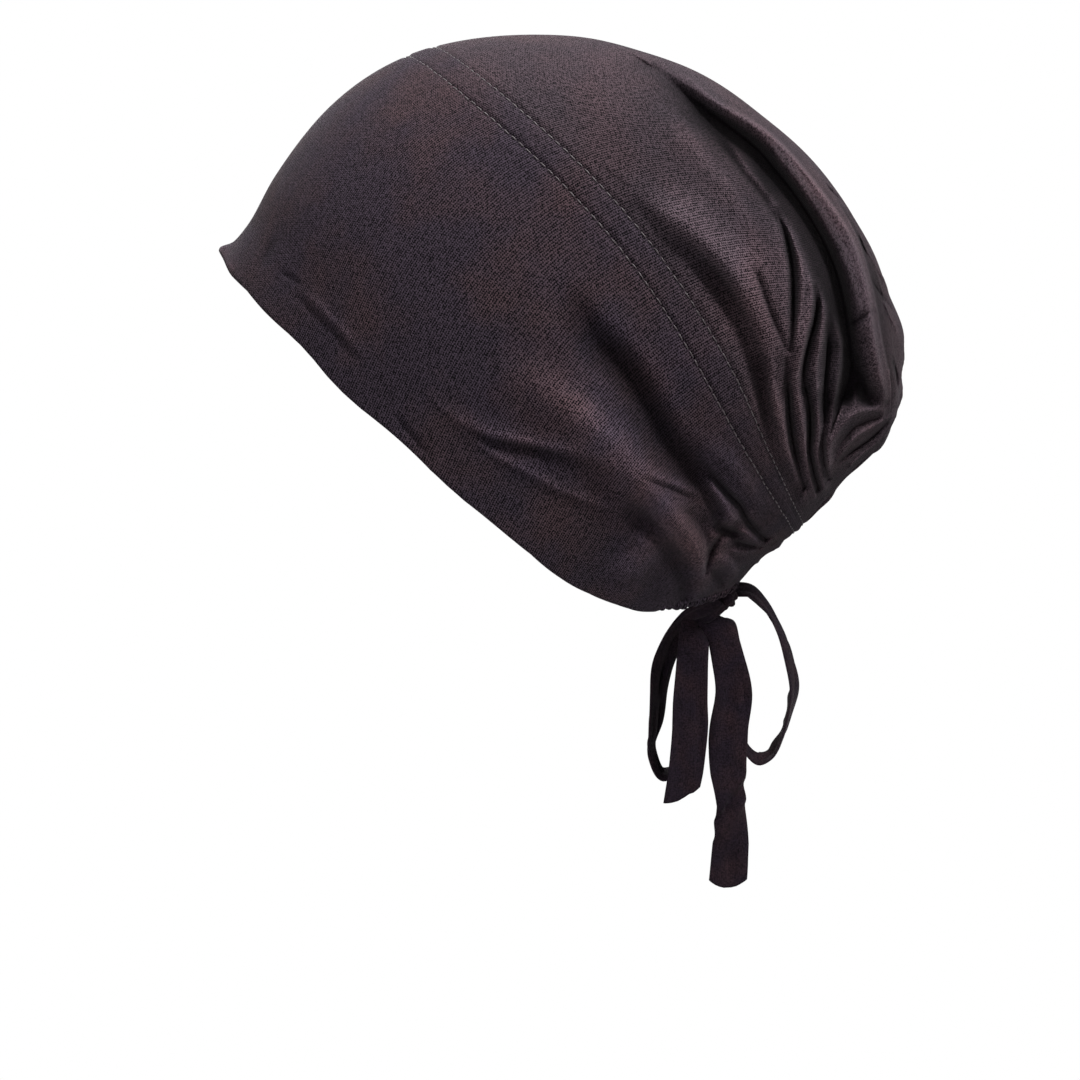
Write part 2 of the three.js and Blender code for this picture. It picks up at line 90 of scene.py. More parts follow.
def curveThrough(at, rows, wanted):
    # Smooth curve through rows of values, at any places.
    at, rows, wanted = np.asarray(at, float), np.asarray(rows, float), np.asarray(wanted, float)
    gaps = np.diff(at)
    rises = np.diff(rows, axis=0) / gaps[:, None]
    slopes = np.empty_like(rows)
    slopes[0], slopes[-1] = rises[0], rises[-1]
    slopes[1:-1] = rises[:-1] * gaps[1:, None] + rises[1:] * gaps[:-1, None]
    slopes[1:-1] /= (gaps[1:] + gaps[:-1])[:, None]
    inside = np.clip(wanted, at[0], at[-1])
    row = np.clip(np.searchsorted(at, inside, side="right") - 1, 0, len(at) - 2)
    gap = gaps[row]
    t = (inside - at[row]) / gap
    first = 2 * t ** 3 - 3 * t ** 2 + 1
    parts = [
        (first, rows[row]),
        ((t ** 3 - 2 * t ** 2 + t) * gap, slopes[row]),
        (1 - first, rows[row + 1]),
        ((t ** 3 - t ** 2) * gap, slopes[row + 1]),
    ]
    return sum(weight[..., None] * values for weight, values in parts)


def hoopTable():
    long, deep, half = capSize["length"], capSize["depth"], capSize["width"] / 2
    return np.array(hoopRows) * np.array([1, long, deep, long, deep, half, 1, 1, deep, deep, deep, 1])


hoops = hoopTable()
lastPlace = hoops[-1, 0]


def smoothStep(low, high, value):
    t = np.clip((value - low) / (high - low), 0, 1)
    return t * t * (3 - 2 * t)


def unit(vectors):
    return vectors / np.maximum(np.linalg.norm(vectors, axis=-1, keepdims=True), 1e-12)


def lengthAlong(line):
    return np.concatenate([[0], np.cumsum(np.linalg.norm(np.diff(line, axis=0), axis=1))])


# How far the front edge is drawn back beside the plain curve of the hoops, in millimetres.
rimShift = {
    "turn": (0.13, 0.18, 0.22, 0.26, 0.28, 0.30, 0.32, 0.34, 0.36, 0.40, 0.44, 0.46, 0.48,
             0.50, 0.52, 0.54, 0.56, 0.60, 0.64, 0.66, 0.68, 0.70, 0.72, 0.74, 0.77),
    "back": (0.0, 1.5, 1.4, 1.6, 1.3, 0.3, -1.2, -2.3, -2.9, -3.2, -3.5, -3.1, -2.2,
             -0.8, 0.5, 1.7, 2.7, 3.3, 3.5, 3.1, 2.6, 1.8, 0.6, -0.4, 0.0),
    "wayY": 0.47, "wayZ": 0.88, "lastPlace": 0.6,
}


def halfTurn(turn):
    wrapped = np.mod(turn, 2)
    return np.where(wrapped > 1, 2 - wrapped, wrapped)


def smoothCloth(place, turn):
    # A point of the cloth without its folds. turn counts half turns from the top over the left side.
    place, turn = np.broadcast_arrays(np.asarray(place, float), np.asarray(turn, float))
    topY, topZ, napeY, napeZ, half, square, widest, swell, skew, wave, pinch = np.moveaxis(
        curveThrough(hoops[:, 0], hoops[:, 1:], place), -1, 0)
    angle = turn * np.pi
    across = (np.sin(angle) + square * np.sin(3 * angle)) / (1 - square)
    along = (np.cos(angle) - square * np.cos(3 * angle)) / (1 - square)
    share = 0.5 - 0.5 * along + (widest - 0.5) * np.sin(angle) ** 2
    chordY, chordZ = napeY - topY, napeZ - topZ
    size = np.hypot(chordY, chordZ) + 1e-9
    bow = swell * np.sin(np.pi * share) + skew * np.sin(2 * np.pi * share) + wave * np.sin(3 * np.pi * share)
    x = half * across * (1 - pinch * smoothStep(capSize["pinchFrom"], capSize["pinchTo"], share))
    y = topY + chordY * share - chordZ / size * bow
    z = topZ + chordZ * share + chordY / size * bow
    back = np.interp(halfTurn(turn), rimShift["turn"], rimShift["back"]) / 1000
    back = back * (1 - smoothStep(0, rimShift["lastPlace"], place))
    return np.stack([x, y + rimShift["wayY"] * back, z + rimShift["wayZ"] * back], axis=-1)


def clothNormal(place, turn):
    small = 0.004
    near = np.minimum(place, lastPlace - 3 * small)
    along = smoothCloth(near + small, turn) - smoothCloth(np.maximum(near - small, 0), turn)
    around = smoothCloth(near, turn + small) - smoothCloth(near, turn - small)
    return unit(np.cross(around, along))


foldTurn = {"from": 0.10, "to": 0.45}  # how far sideways the cloth faces where its folds turn to the side


def foldWay(points, normals):
    # The way that folds rise: outwards on top, and on each side towards a viewpoint level with it.
    side = smoothStep(foldTurn["from"], foldTurn["to"], np.abs(normals[..., 0]))[..., None]
    seenFrom = np.ones_like(normals) * viewPoint["place"]
    seenFrom[..., 0] *= np.sign(normals[..., 0] + 1e-9)
    return unit(normals * (1 - side) + unit(seenFrom - points) * side)


def placeBehind(place, turn, length, rounds=6, small=0.01):
    # The place that lies a length behind another along the cloth.
    start = smoothCloth(place, turn)
    at = np.broadcast_to(np.asarray(place, float), np.shape(turn)).copy()
    for step in range(rounds):
        reached = np.linalg.norm(smoothCloth(at, turn) - start, axis=-1) * np.sign(length)
        speed = np.linalg.norm(smoothCloth(at + small, turn) - smoothCloth(at, turn), axis=-1) / small
        at = at + (length - reached) / speed
    return at


# Folds of the crown. Columns: name, height, width in front of the crest and width behind it in millimetres,
# roundness, how much of its height it keeps at its first and at its last point, and its course: places in
# hundredths and half turns in thousandths.
crownFolds = [
    ("mainValley", -12.0, 7.5, 3.6, 1.6, 0.25, 0.9, [(171, 239), (172, 275), (176, 318), (183, 343), (190, 365),
        (194, 395), (199, 424), (204, 455), (207, 487), (207, 522), (204, 558), (202, 593), (199, 630),
        (190, 665)]),
    ("bigRoll", 5.0, 4.2, 1.9, 1.7, 0.3, 0.7, [(184, 233), (186, 281), (195, 296), (210, 296), (221, 312),
        (230, 338), (240, 364), (247, 389), (248, 432), (247, 481), (242, 529), (240, 580), (244, 632),
        (250, 678)]),
    ("deepPocket", -6.0, 3.2, 3.2, 2.0, 0.5, 0.4, [(207, 623), (214, 650), (226, 672), (248, 698)]),
    ("firstRidge", 4.4, 4.5, 8.0, 2.0, 0.2, 0.7, [(122, 422), (124, 435), (126, 452), (130, 468), (133, 487),
        (138, 503), (141, 520), (141, 538), (139, 560), (139, 580)]),
    ("seamValley", -3.8, 3.0, 2.6, 2.0, 0.2, 0.9, [(117, 437), (121, 461), (126, 483), (129, 503), (131, 523),
        (133, 549), (132, 578), (131, 604), (126, 632), (120, 661), (116, 690), (117, 731), (120, 786)]),
    ("behindRoll", -3.8, 0.9, 12.0, 2.4, 0.1, 0.8, [(248, 270), (253, 309), (259, 348), (260, 405), (259, 456),
        (258, 501), (257, 554), (261, 600)]),
    ("creaseHigh", -1.1, 0.8, 1.4, 1.35, 0.0, 0.8, [(169, 364), (171, 382), (172, 407), (174, 425), (176, 445),
        (176, 457)]),
    ("creaseHighLit", 1.0, 0.9, 1.4, 1.35, 0.0, 0.8, [(175, 356), (176, 379), (176, 402), (178, 421),
        (180, 441)]),
    ("creaseLeft", -2.5, 0.8, 1.2, 1.35, 0.0, 0.6, [(152, 506), (152, 523), (151, 546), (151, 568),
        (152, 594)]),
    ("ribA", 2.2, 0.8, 1.2, 1.25, 0.2, 0.8, [(177, 447), (181, 463), (181, 482), (180, 502), (177, 524),
        (172, 546), (165, 569), (158, 592)]),
    ("slotA", -5.2, 0.9, 1.0, 1.45, 0.2, 0.5, [(179, 453), (178, 477), (175, 503), (171, 527), (166, 551),
        (161, 574), (156, 594)]),
    ("ribB", 2.8, 1.1, 1.1, 1.35, 0.2, 0.8, [(183, 501), (182, 521), (180, 541), (174, 562), (166, 586),
        (158, 609), (152, 627)]),
    ("slotB", -5.5, 0.8, 1.0, 1.45, 0.2, 0.6, [(183, 534), (181, 552), (176, 571), (170, 587), (164, 605),
        (159, 624), (157, 644)]),
    ("ribC", 2.8, 1.1, 1.1, 1.35, 0.2, 0.8, [(187, 528), (186, 551), (181, 574), (175, 597), (169, 619),
        (166, 645)]),
    ("slotC", -3.8, 0.8, 0.9, 1.45, 0.1, 0.6, [(185, 574), (180, 605), (175, 633), (171, 660), (168, 691)]),
    ("ribD", 3.2, 1.8, 1.4, 1.45, 0.0, 0.8, [(191, 538), (192, 571), (192, 600), (187, 629), (181, 658),
        (175, 689), (170, 718)]),
    ("puckerLine", -2.0, 0.6, 0.6, 1.25, 0.3, 0.5, [(209, 566), (219, 557), (234, 539), (246, 518)]),
    ("rollNotchHigh", -3.0, 0.8, 0.8, 1.35, 0.5, 0.5, [(248, 278), (253, 259), (259, 234)]),
    ("rollNotch", -2.5, 0.9, 0.9, 1.35, 0.4, 0.4, [(262, 336), (261, 361), (263, 370)]),
    ("outerLineOne", 1.2, 1.0, 1.2, 1.25, 0.2, 0.3, [(261, 364), (277, 344), (302, 270)]),
    ("outerLineTwo", -1.5, 0.9, 1.0, 1.25, 0.2, 0.3, [(256, 440), (273, 435), (309, 328)]),
    ("outerLineThree", 1.2, 1.0, 1.0, 1.25, 0.2, 0.3, [(266, 457), (286, 445), (312, 406)]),
    ("backPocket", -4.5, 1.6, 1.6, 2.0, 0.4, 0.4, [(274, 584), (287, 594), (302, 620)]),
    ("pocketLip", 4.0, 1.6, 1.6, 1.35, 0.5, 0.5, [(169, 771), (171, 736), (180, 716), (193, 701), (209, 695),
        (231, 699), (251, 706)]),
    ("hammockDark", -3.0, 1.2, 1.2, 1.45, 0.2, 0.4, [(178, 752), (191, 734), (204, 723), (223, 723),
        (241, 724)]),
    ("hammockLow", 2.8, 1.1, 1.3, 1.35, 0.3, 0.4, [(176, 780), (188, 757), (207, 743), (233, 741), (259, 731)]),
    ("underHammock", -4.5, 1.5, 1.5, 1.55, 0.3, 0.5, [(184, 776), (208, 777), (235, 776), (257, 750)]),
    ("lowerLayer", 2.2, 1.2, 1.4, 1.35, 0.3, 0.4, [(192, 833), (212, 815), (239, 811), (265, 789)]),
    ("underLayer", -2.2, 1.2, 1.2, 1.55, 0.3, 0.4, [(194, 883), (221, 881), (247, 878)]),
    ("pleatOne", 2.8, 2.2, 1.3, 1.7, 0.0, 0.9, [(138, 576), (138, 603), (134, 635), (132, 668), (130, 711),
        (134, 762), (134, 821)]),
    ("slotOne", -5.2, 0.9, 1.0, 1.45, 0.3, 0.9, [(150, 605), (145, 634), (140, 665), (136, 698), (134, 734),
        (135, 782)]),
    ("pleatTwo", 2.8, 1.0, 1.0, 1.35, 0.1, 0.9, [(152, 627), (150, 653), (148, 685), (145, 721), (144, 770),
        (146, 825)]),
    ("slotTwo", -5.5, 0.8, 1.0, 1.45, 0.4, 0.8, [(158, 642), (157, 667), (154, 694), (149, 726), (149, 765),
        (152, 811)]),
    ("pleatThree", 2.5, 1.0, 0.9, 1.35, 0.4, 0.9, [(166, 645), (164, 668), (162, 695), (157, 729), (157, 769),
        (160, 825)]),
    ("slotThree", -3.2, 0.8, 0.8, 1.45, 0.4, 0.8, [(168, 691), (164, 721), (163, 759), (168, 806)]),
    ("pleatFour", 2.0, 1.0, 1.0, 1.45, 0.5, 0.8, [(170, 718), (167, 752), (170, 802)]),
    ("softRise", 1.2, 4.0, 3.0, 2.0, 0.0, 0.2, [(159, 303), (158, 354), (157, 400), (159, 435), (160, 470),
        (159, 498)]),
]

# Folds of the band, in the same columns.
bandFolds = [
    ("napeSwell", 3.2, 7.0, 7.0, 2.0, 0.5, 0.4, [(42, 674), (27, 670), (14, 667), (6, 672)]),
    ("darkValley", -5.2, 5.5, 3.8, 2.0, 0.0, 0.7, [(71, 439), (72, 470), (71, 498), (73, 527), (73, 555),
        (71, 588), (70, 612), (70, 635), (69, 659), (67, 683), (63, 709)]),
    ("broadRidge", 4.6, 6.5, 5.5, 2.0, 0.0, 0.5, [(38, 428), (44, 474), (49, 516), (51, 549), (52, 578),
        (51, 610), (49, 648), (44, 689), (38, 729), (28, 762), (18, 777), (10, 788)]),
    ("lowValley", -3.8, 3.0, 3.0, 1.9, 0.0, 0.7, [(38, 606), (38, 624), (37, 646), (35, 670), (30, 698),
        (25, 727), (16, 753), (7, 775)]),
    ("seamRidge", 1.4, 3.0, 3.0, 2.0, 0.0, 0.6, [(85, 619), (86, 650), (88, 679), (88, 713), (87, 749)]),
    ("frontLip", 2.2, 2.6, 2.6, 2.0, 0.6, 0.2, [(0, 10), (0, 80), (0, 150)]),
    ("crispRidge", 1.4, 0.8, 2.4, 1.15, 0.2, 0.3, [(18, 422), (20, 447), (23, 473), (27, 493), (32, 516),
        (38, 542), (44, 568), (49, 609)]),
    ("crispShade", -1.4, 1.8, 1.0, 1.45, 0.1, 0.1, [(20, 451), (22, 477), (26, 500), (32, 526), (39, 562)]),
    ("lowerCrisp", 1.0, 0.9, 1.6, 1.15, 0.2, 0.2, [(18, 441), (19, 471), (20, 496), (23, 529), (26, 563),
        (32, 602), (35, 627)]),
    ("seamCrease", -4.8, 1.1, 1.0, 1.45, 0.0, 0.9, [(76, 638), (76, 672), (76, 705), (76, 729), (72, 757),
        (69, 799), (68, 836)]),
    ("upperLobe", 3.5, 1.9, 1.5, 1.55, 0.0, 0.8, [(73, 654), (72, 679), (70, 704), (67, 726), (65, 738)]),
    ("thinCrease", -1.6, 1.0, 1.0, 1.25, 0.1, 0.2, [(52, 608), (54, 627), (57, 645), (59, 664), (62, 679)]),
    ("midRidge", 1.8, 1.8, 1.8, 1.55, 0.0, 0.6, [(53, 599), (56, 619), (59, 639), (63, 662), (62, 688),
        (58, 713), (52, 736)]),
    ("midValley", -2.5, 1.8, 1.8, 1.55, 0.0, 0.8, [(51, 658), (53, 680), (51, 705), (46, 731), (39, 751)]),
    ("napePocket", -5.2, 1.6, 1.8, 2.0, 0.5, 0.4, [(57, 725), (57, 740), (58, 756), (58, 775)]),
    ("napeSlot", -4.5, 1.2, 1.4, 1.55, 0.6, 0.5, [(50, 746), (42, 751), (34, 761), (25, 774)]),
    ("napeFoldOne", 2.0, 1.0, 1.0, 1.35, 0.3, 0.6, [(62, 754), (63, 784), (61, 828)]),
    ("napeFoldDark", -3.0, 0.9, 0.9, 1.45, 0.3, 0.6, [(53, 767), (55, 799), (58, 846)]),
    ("napeFoldTwo", 1.8, 1.0, 1.0, 1.45, 0.3, 0.4, [(46, 776), (47, 805), (50, 833)]),
    ("napeBulge", 2.8, 2.2, 2.2, 1.9, 0.5, 0.5, [(38, 775), (35, 809), (25, 855)]),
    ("napeBulgeDark", -2.5, 1.2, 1.2, 1.55, 0.4, 0.4, [(28, 777), (21, 814), (12, 857)]),
    ("hemCrease", -0.9, 0.9, 0.8, 1.45, 0.2, 0.3, [(9, 247), (9, 265), (9, 284), (10, 313), (10, 339)]),
    ("hemCreaseLit", 0.8, 0.6, 1.2, 1.25, 0.2, 0.3, [(11, 252), (11, 272), (11, 290), (12, 319), (12, 343)]),
    ("hemPuckerHigh", -0.9, 0.7, 0.7, 1.35, 0.3, 0.3, [(11, 213), (12, 233), (12, 249)]),
    ("hemPuckerLow", -1.0, 0.7, 0.7, 1.35, 0.3, 0.3, [(5, 395), (4, 411), (3, 432)]),
    ("browDip", -0.8, 2.5, 2.5, 1.8, 0.5, 0.5, [(9, 179), (13, 178), (17, 177)]),
]


foldShape = {"samples": 26, "reach": 3.2, "endShare": 0.3}


def addFold(points, normals, row, side, lift):
    # Adds one fold to the lift of the cloth's points, on the left (side 1) or the right (side -1).
    height, front, behind, roundness, keepFirst, keepLast, course = row[1:]
    at = np.linspace(0, 1, len(course))
    places, turns = curveThrough(at, course, np.linspace(0, 1, foldShape["samples"])).T
    path = smoothCloth(places, side * turns)
    reach = foldShape["reach"] * max(front, behind) / 1000
    low, high = path.min(axis=0) - reach, path.max(axis=0) + reach
    near = np.all((points > low) & (points < high), axis=-1)
    if not near.any():
        return
    here, out = points[near], normals[near]
    best = np.full(len(here), 1e9)
    inFront = np.zeros(len(here), bool)
    along = np.zeros(len(here))
    steps = len(path) - 1
    for i in range(steps):
        run = path[i + 1] - path[i]
        t = np.clip((here - path[i]) @ run / (run @ run), 0, 1)
        away = here - path[i] - t[:, None] * run
        distance = np.linalg.norm(away, axis=1)
        closer = distance < best
        across = np.cross(out, run / np.linalg.norm(run)) * side
        best = np.where(closer, distance, best)
        inFront = np.where(closer, np.einsum("ij,ij->i", away, across) < 0, inFront)
        along = np.where(closer, (i + t) / steps, along)
    width = np.where(inFront, front, behind) / 1000
    ends = (keepFirst + (1 - keepFirst) * smoothStep(0, foldShape["endShare"], along)) * (
        keepLast + (1 - keepLast) * smoothStep(0, foldShape["endShare"], 1 - along))
    lift[near] += height / 1000 * (np.exp(-(best / width) ** roundness) * ends)


# Short small folds at seeded places, mostly along the hoops.
# Columns: seed, number, places, turns, heights and widths in millimetres.
crownWrinkles = [
    (11, 34, (1.25, 2.9), (0.30, 0.72), (0.15, 0.45), (1.2, 2.6)),
    (12, 16, (1.2, 1.7), (0.62, 0.80), (0.3, 0.7), (0.8, 1.5)),
    (14, 14, (2.5, 3.3), (0.30, 0.92), (0.3, 0.7), (1.4, 3.0)),
]
bandWrinkles = [
    (21, 22, (0.1, 0.85), (0.44, 0.74), (0.10, 0.28), (1.2, 2.6)),
    (22, 20, (0.3, 0.85), (0.72, 0.94), (0.3, 0.7), (0.9, 1.8)),
]
wrinkleShape = {"length": (0.04, 0.13), "drift": (-0.12, 0.12), "bend": (-0.03, 0.03), "uneven": (0.7, 1.4),
                "roundness": 1.7}


def makeWrinkles(table):
    rows = []
    for seed, number, placeRange, turnRange, height, width in table:
        dice = np.random.default_rng(seed)
        for i in range(number):
            place, turn = dice.uniform(*placeRange), dice.uniform(*turnRange)
            length, drift, bend = (dice.uniform(*wrinkleShape[key]) for key in ("length", "drift", "bend"))
            tall = dice.choice([-1, 1]) * dice.uniform(*height)
            wide = dice.uniform(*width)
            behind = wide * dice.uniform(*wrinkleShape["uneven"])
            course = [(place, turn), (place + drift / 2 + bend, turn + length / 2),
                      (place + drift, turn + length)]
            rows.append(("wrinkle", tall, wide, behind, wrinkleShape["roundness"], 0.0, 0.0, course))
    return rows


rightFolds = {"place": (-0.05, 0.05), "turn": (-0.025, 0.015), "height": (0.8, 1.1), "width": 1.1}


def otherSide(rows, seed):
    # The same kind of folds for the right side, each a little different.
    dice = np.random.default_rng(seed)
    changed = []
    for name, height, front, behind, roundness, first, last, course in rows:
        shiftPlace, shiftTurn = dice.uniform(*rightFolds["place"]), dice.uniform(*rightFolds["turn"])
        moved = [(place + shiftPlace, turn + shiftTurn) for place, turn in course]
        size, wider = dice.uniform(*rightFolds["height"]), rightFolds["width"]
        changed.append((name, height * size, front * wider, behind * wider, roundness, first, last, moved))
    return changed


def readCourses(rows):
    return [(*row[:-1], [(place / 100, turn / 1000) for place, turn in row[-1]]) for row in rows]


crownFolds = readCourses(crownFolds) + makeWrinkles(crownWrinkles)
bandFolds = readCourses(bandFolds) + makeWrinkles(bandWrinkles)
crownFoldsRight = otherSide(crownFolds, 31)
bandFoldsRight = otherSide(bandFolds, 32)


def foldLift(points, normals, left, right):
    lift = np.zeros(points.shape[:-1])
    for rows, side in ((left, 1), (right, -1)):
        for row in rows:
            addFold(points, normals, row, side, lift)
    return lift


gatherWander = ((0.35, 2.3, 9), (0.2, 5.1, -17))  # size, by place, by turn
gatherWaves = ((0.7, 1.0, 3), (0.3, 1.7, -4))  # size, rate, sway


def gatherLift(place, turn, points, settings):
    # Fine gathers that run out of the seam round the nape.
    nape = smoothCloth(1.0, 1.0)
    closeness = np.exp(-(np.linalg.norm(points - nape, axis=-1) / settings["gatherReach"]) ** 2)
    wander = sum(size * np.sin(byPlace * place + byTurn * turn) for size, byPlace, byTurn in gatherWander)
    waves = sum(np.cos(rate * settings["gathers"] * np.pi * turn + sway * wander) * size
                for size, rate, sway in gatherWaves)
    return settings["gatherHeight"] * closeness * waves


# The strip between the two rows of stitches: its width round the cap, in millimetres.
stripTable = {"turn": (0.0, 0.45, 0.60, 0.71, 0.81, 1.0), "width": (8.0, 7.0, 7.3, 5.2, 3.8, 3.6)}
seamHalfGap = 0.00015


def lowerRow(turn):
    return np.ones_like(turn)


def upperRow(turn):
    return placeBehind(1.0, turn, np.interp(halfTurn(turn), stripTable["turn"], stripTable["width"]) / 1000)


casingSize = {"height": 0.0036, "thickness": 0.0030, "from": 0.70, "taper": 0.08, "underBand": 0.7,
              "start": 0.6, "stations": 420, "sides": 16, "seed": 41, "pucker": 0.0005,
              "puckerStep": (0.25, 0.75), "puckerRate": 1.2, "endShare": 0.05, "endThickness": 0.4,
              "endHeight": 0.5, "uvRadius": 0.0006}


def bandEdge(turn):
    share = smoothStep(casingSize["from"], casingSize["from"] + casingSize["taper"], halfTurn(turn))
    return placeBehind(0.0, turn, casingSize["height"] * casingSize["underBand"] * share + 1e-6)


crowdedTurns = ((2.0, 0.62, 0.24), (0.7, 1.38, 0.2))  # more columns there: how many more, middle, spread
crowdedRows = {"edge": 0.03, "middle": 0.26, "spread": 0.15}


def crowdSum(crowd):
    return np.concatenate([[0], np.cumsum((crowd[1:] + crowd[:-1]) / 2)])


def columnTurns(count):
    # Columns of points round the cap, closest together where the cloth is most folded.
    fine = np.linspace(0, 2, 4001)
    crowd = np.ones_like(fine)
    for more, middle, spread in crowdedTurns:
        crowd += more * np.exp(-((fine - middle) / spread) ** 2)
    summed = crowdSum(crowd)
    return np.interp(np.arange(count) / count * summed[-1], summed, fine)


def rowShares(settings):
    fine, edge = np.linspace(0, 1, 2001), crowdedRows["edge"]
    crowd = 1 + settings["crowdStart"] * np.exp(-fine / edge) + settings["crowdEnd"] * np.exp(-(1 - fine) / edge)
    crowd += settings["crowdMiddle"] * np.exp(-((fine - crowdedRows["middle"]) / crowdedRows["spread"]) ** 2)
    summed = crowdSum(crowd)
    return np.interp(np.linspace(0, summed[-1], settings["rows"]), summed, fine)


def meshFrom(name, points, faces, uv=None):
    mesh = bpy.data.meshes.new(name)
    mesh.from_pydata(points.tolist(), [], faces)
    if uv is not None:
        layer = mesh.uv_layers.new(name="clothUV")
        corner = np.empty(len(mesh.loops), int)
        mesh.loops.foreach_get("vertex_index", corner)
        layer.data.foreach_set("uv", uv[corner].astype(np.float32).ravel())
    piece = bpy.data.objects.new(name, mesh)
    bpy.context.collection.objects.link(piece)
    mesh.polygons.foreach_set("use_smooth", [True] * len(mesh.polygons))
    mesh.update()
    return piece


def ringFaces(first, second, count, flip=False):
    here = np.arange(count)
    nexts = np.roll(here, -1)
    quads = np.stack([first + here, first + nexts, second + nexts, second + here], axis=1)
    return (quads[:, ::-1] if flip else quads).tolist()


def erodeRows(lift, span):
    # The lowest lift within a few rows, so that a coarser inner skin stays under the outer one.
    lowest = lift.copy()
    for shift in range(1, span + 1):
        lowest[shift:] = np.minimum(lowest[shift:], lift[:-shift])
        lowest[:-shift] = np.minimum(lowest[:-shift], lift[shift:])
    sides = np.minimum(np.roll(lowest, 1, axis=1), np.roll(lowest, -1, axis=1))
    return np.minimum(lowest, sides)


# Scales of the painted shade in the folds' hollows and of the painted highlight on their crests.
paintedShadeAndHighlightReach = {"rounds": 30, "fine": 0.0026, "deep": 0.0060, "high": 0.0012, "broad": 0.0045}


def paintedShadeAndHighlightOf(outer, normals, lift):
    # From -1 in the hollows between folds to 1 on their crests: how much painted shade and painted highlight the
    # cloth's colour gets there.
    spread = outer.copy()
    for k in range(paintedShadeAndHighlightReach["rounds"]):
        spread[1:-1] = (spread[:-2] + 2 * spread[1:-1] + spread[2:]) / 4
        spread = (np.roll(spread, 1, axis=1) + 2 * spread + np.roll(spread, -1, axis=1)) / 4
    raised = np.einsum("ijk,ijk->ij", outer - spread, normals)
    sunk = np.maximum(-raised / paintedShadeAndHighlightReach["fine"], -lift / paintedShadeAndHighlightReach["deep"])
    crest = np.maximum(raised / paintedShadeAndHighlightReach["high"], lift / paintedShadeAndHighlightReach["broad"])
    return np.clip(crest, 0, 1) - np.clip(sunk, 0, 1)


edgeAngles = (45, 90, 135)  # rings of a rounded edge, from the outer skin at 0 to the inner one at 180


def clothShell(name, settings, startOf, endOf, liftOf, closed=False):
    # A shell of cloth between two edges: the outer skin, rounded edges and a coarser inner skin.
    turns = columnTurns(settings["columns"])
    shares = rowShares(settings)
    start, end = startOf(turns), endOf(turns)
    place = start[None, :] + (end - start)[None, :] * shares[:, None]
    turn = np.broadcast_to(turns, place.shape)
    points, normals = smoothCloth(place, turn), clothNormal(place, turn)
    lift = liftOf(place, turn, points, normals)
    way = foldWay(points, normals)
    outer = points + way * lift[..., None]
    runs = np.linalg.norm(np.diff(outer, axis=0), axis=-1)
    along = np.concatenate([np.zeros((1, len(turns))), np.cumsum(runs, axis=0)])
    along = along - along[-1] * settings["measureFromEnd"]
    across = np.broadcast_to(turns * settings["girth"], place.shape)
    wall, every = settings["wall"], settings["innerEvery"]
    picked = np.unique(np.concatenate([np.arange(0, settings["rows"], every), [settings["rows"] - 1]]))
    lowered = erodeRows(lift, every)
    lowered[0], lowered[-1] = lift[0], lift[-1]
    inner = (points + way * lowered[..., None] - normals * wall)[picked]

    def edgeRing(index, outwards, angle):
        middle = points[index] + way[index] * lift[index][:, None] - normals[index] * wall / 2
        turned = math.radians(angle)
        return middle + normals[index] * wall / 2 * math.cos(turned) + outwards * wall / 2 * math.sin(turned)

    rings = list(outer)
    ringUv = [np.stack(pair, axis=1) for pair in zip(across, along)]
    if not closed:
        for angle in edgeAngles:
            rings.append(edgeRing(-1, unit(outer[-1] - outer[-2]), angle))
            ringUv.append(np.stack([across[-1], along[-1] + wall * angle / 180], axis=1))
    outerLast = len(rings) - 1
    rings += list(inner[::-1])
    ringUv += [np.stack([across[i], along[i]], axis=1) for i in picked[::-1]]
    for angle in edgeAngles[::-1]:
        rings.append(edgeRing(0, -unit(outer[1] - outer[0]), angle))
        ringUv.append(np.stack([across[0], along[0] - wall * angle / 180], axis=1))
    count, total = len(turns), len(rings)
    faces = []
    for ring in range(total):
        if not (closed and ring == outerLast):
            faces += ringFaces(ring * count, (ring + 1) % total * count, count)
    allPoints, allUv = np.concatenate(rings), np.concatenate(ringUv)
    if closed:  # both skins end in a point at the back of the bag
        for k, ring in enumerate((outerLast, outerLast + 1)):
            first, centre = ring * count, len(allPoints) + k
            fan = [[first + i, first + (i + 1) % count, centre] for i in range(count)]
            faces += [corners[::-1] for corners in fan] if k else fan
        tips = [rings[outerLast].mean(axis=0), rings[outerLast + 1].mean(axis=0)]
        allPoints = np.concatenate([allPoints, tips])
        allUv = np.concatenate([allUv, np.zeros((2, 2))])
    piece = meshFrom(name, allPoints, faces, allUv)
    # Painted shade for the folds' hollows and painted highlight for their crests, kept on the points for the
    # material.
    paintedShadeAndHighlight = paintedShadeAndHighlightOf(outer, normals, lift)
    tone = np.zeros(len(allPoints), np.float32)
    tone[:paintedShadeAndHighlight.size] = paintedShadeAndHighlight.ravel()
    piece.data.attributes.new("paintedShadeAndHighlight", "FLOAT", "POINT").data.foreach_set("value", tone)
    return piece


def seamFade(place, turn, edge, reach):
    # Zero at a seam and one beyond its reach along the cloth.
    distance = np.linalg.norm(smoothCloth(place, turn) - smoothCloth(edge, turn), axis=-1)
    return smoothStep(0, reach, distance)


def sewnDown(lift, place, turn, edge, settings):
    # Folds die away towards the seam, which lies in a shallow groove.
    groove = -settings["grooveDepth"] * (1 - seamFade(place, turn, edge, settings["grooveReach"]))
    return lift * seamFade(place, turn, edge, settings["seamReach"]) + groove


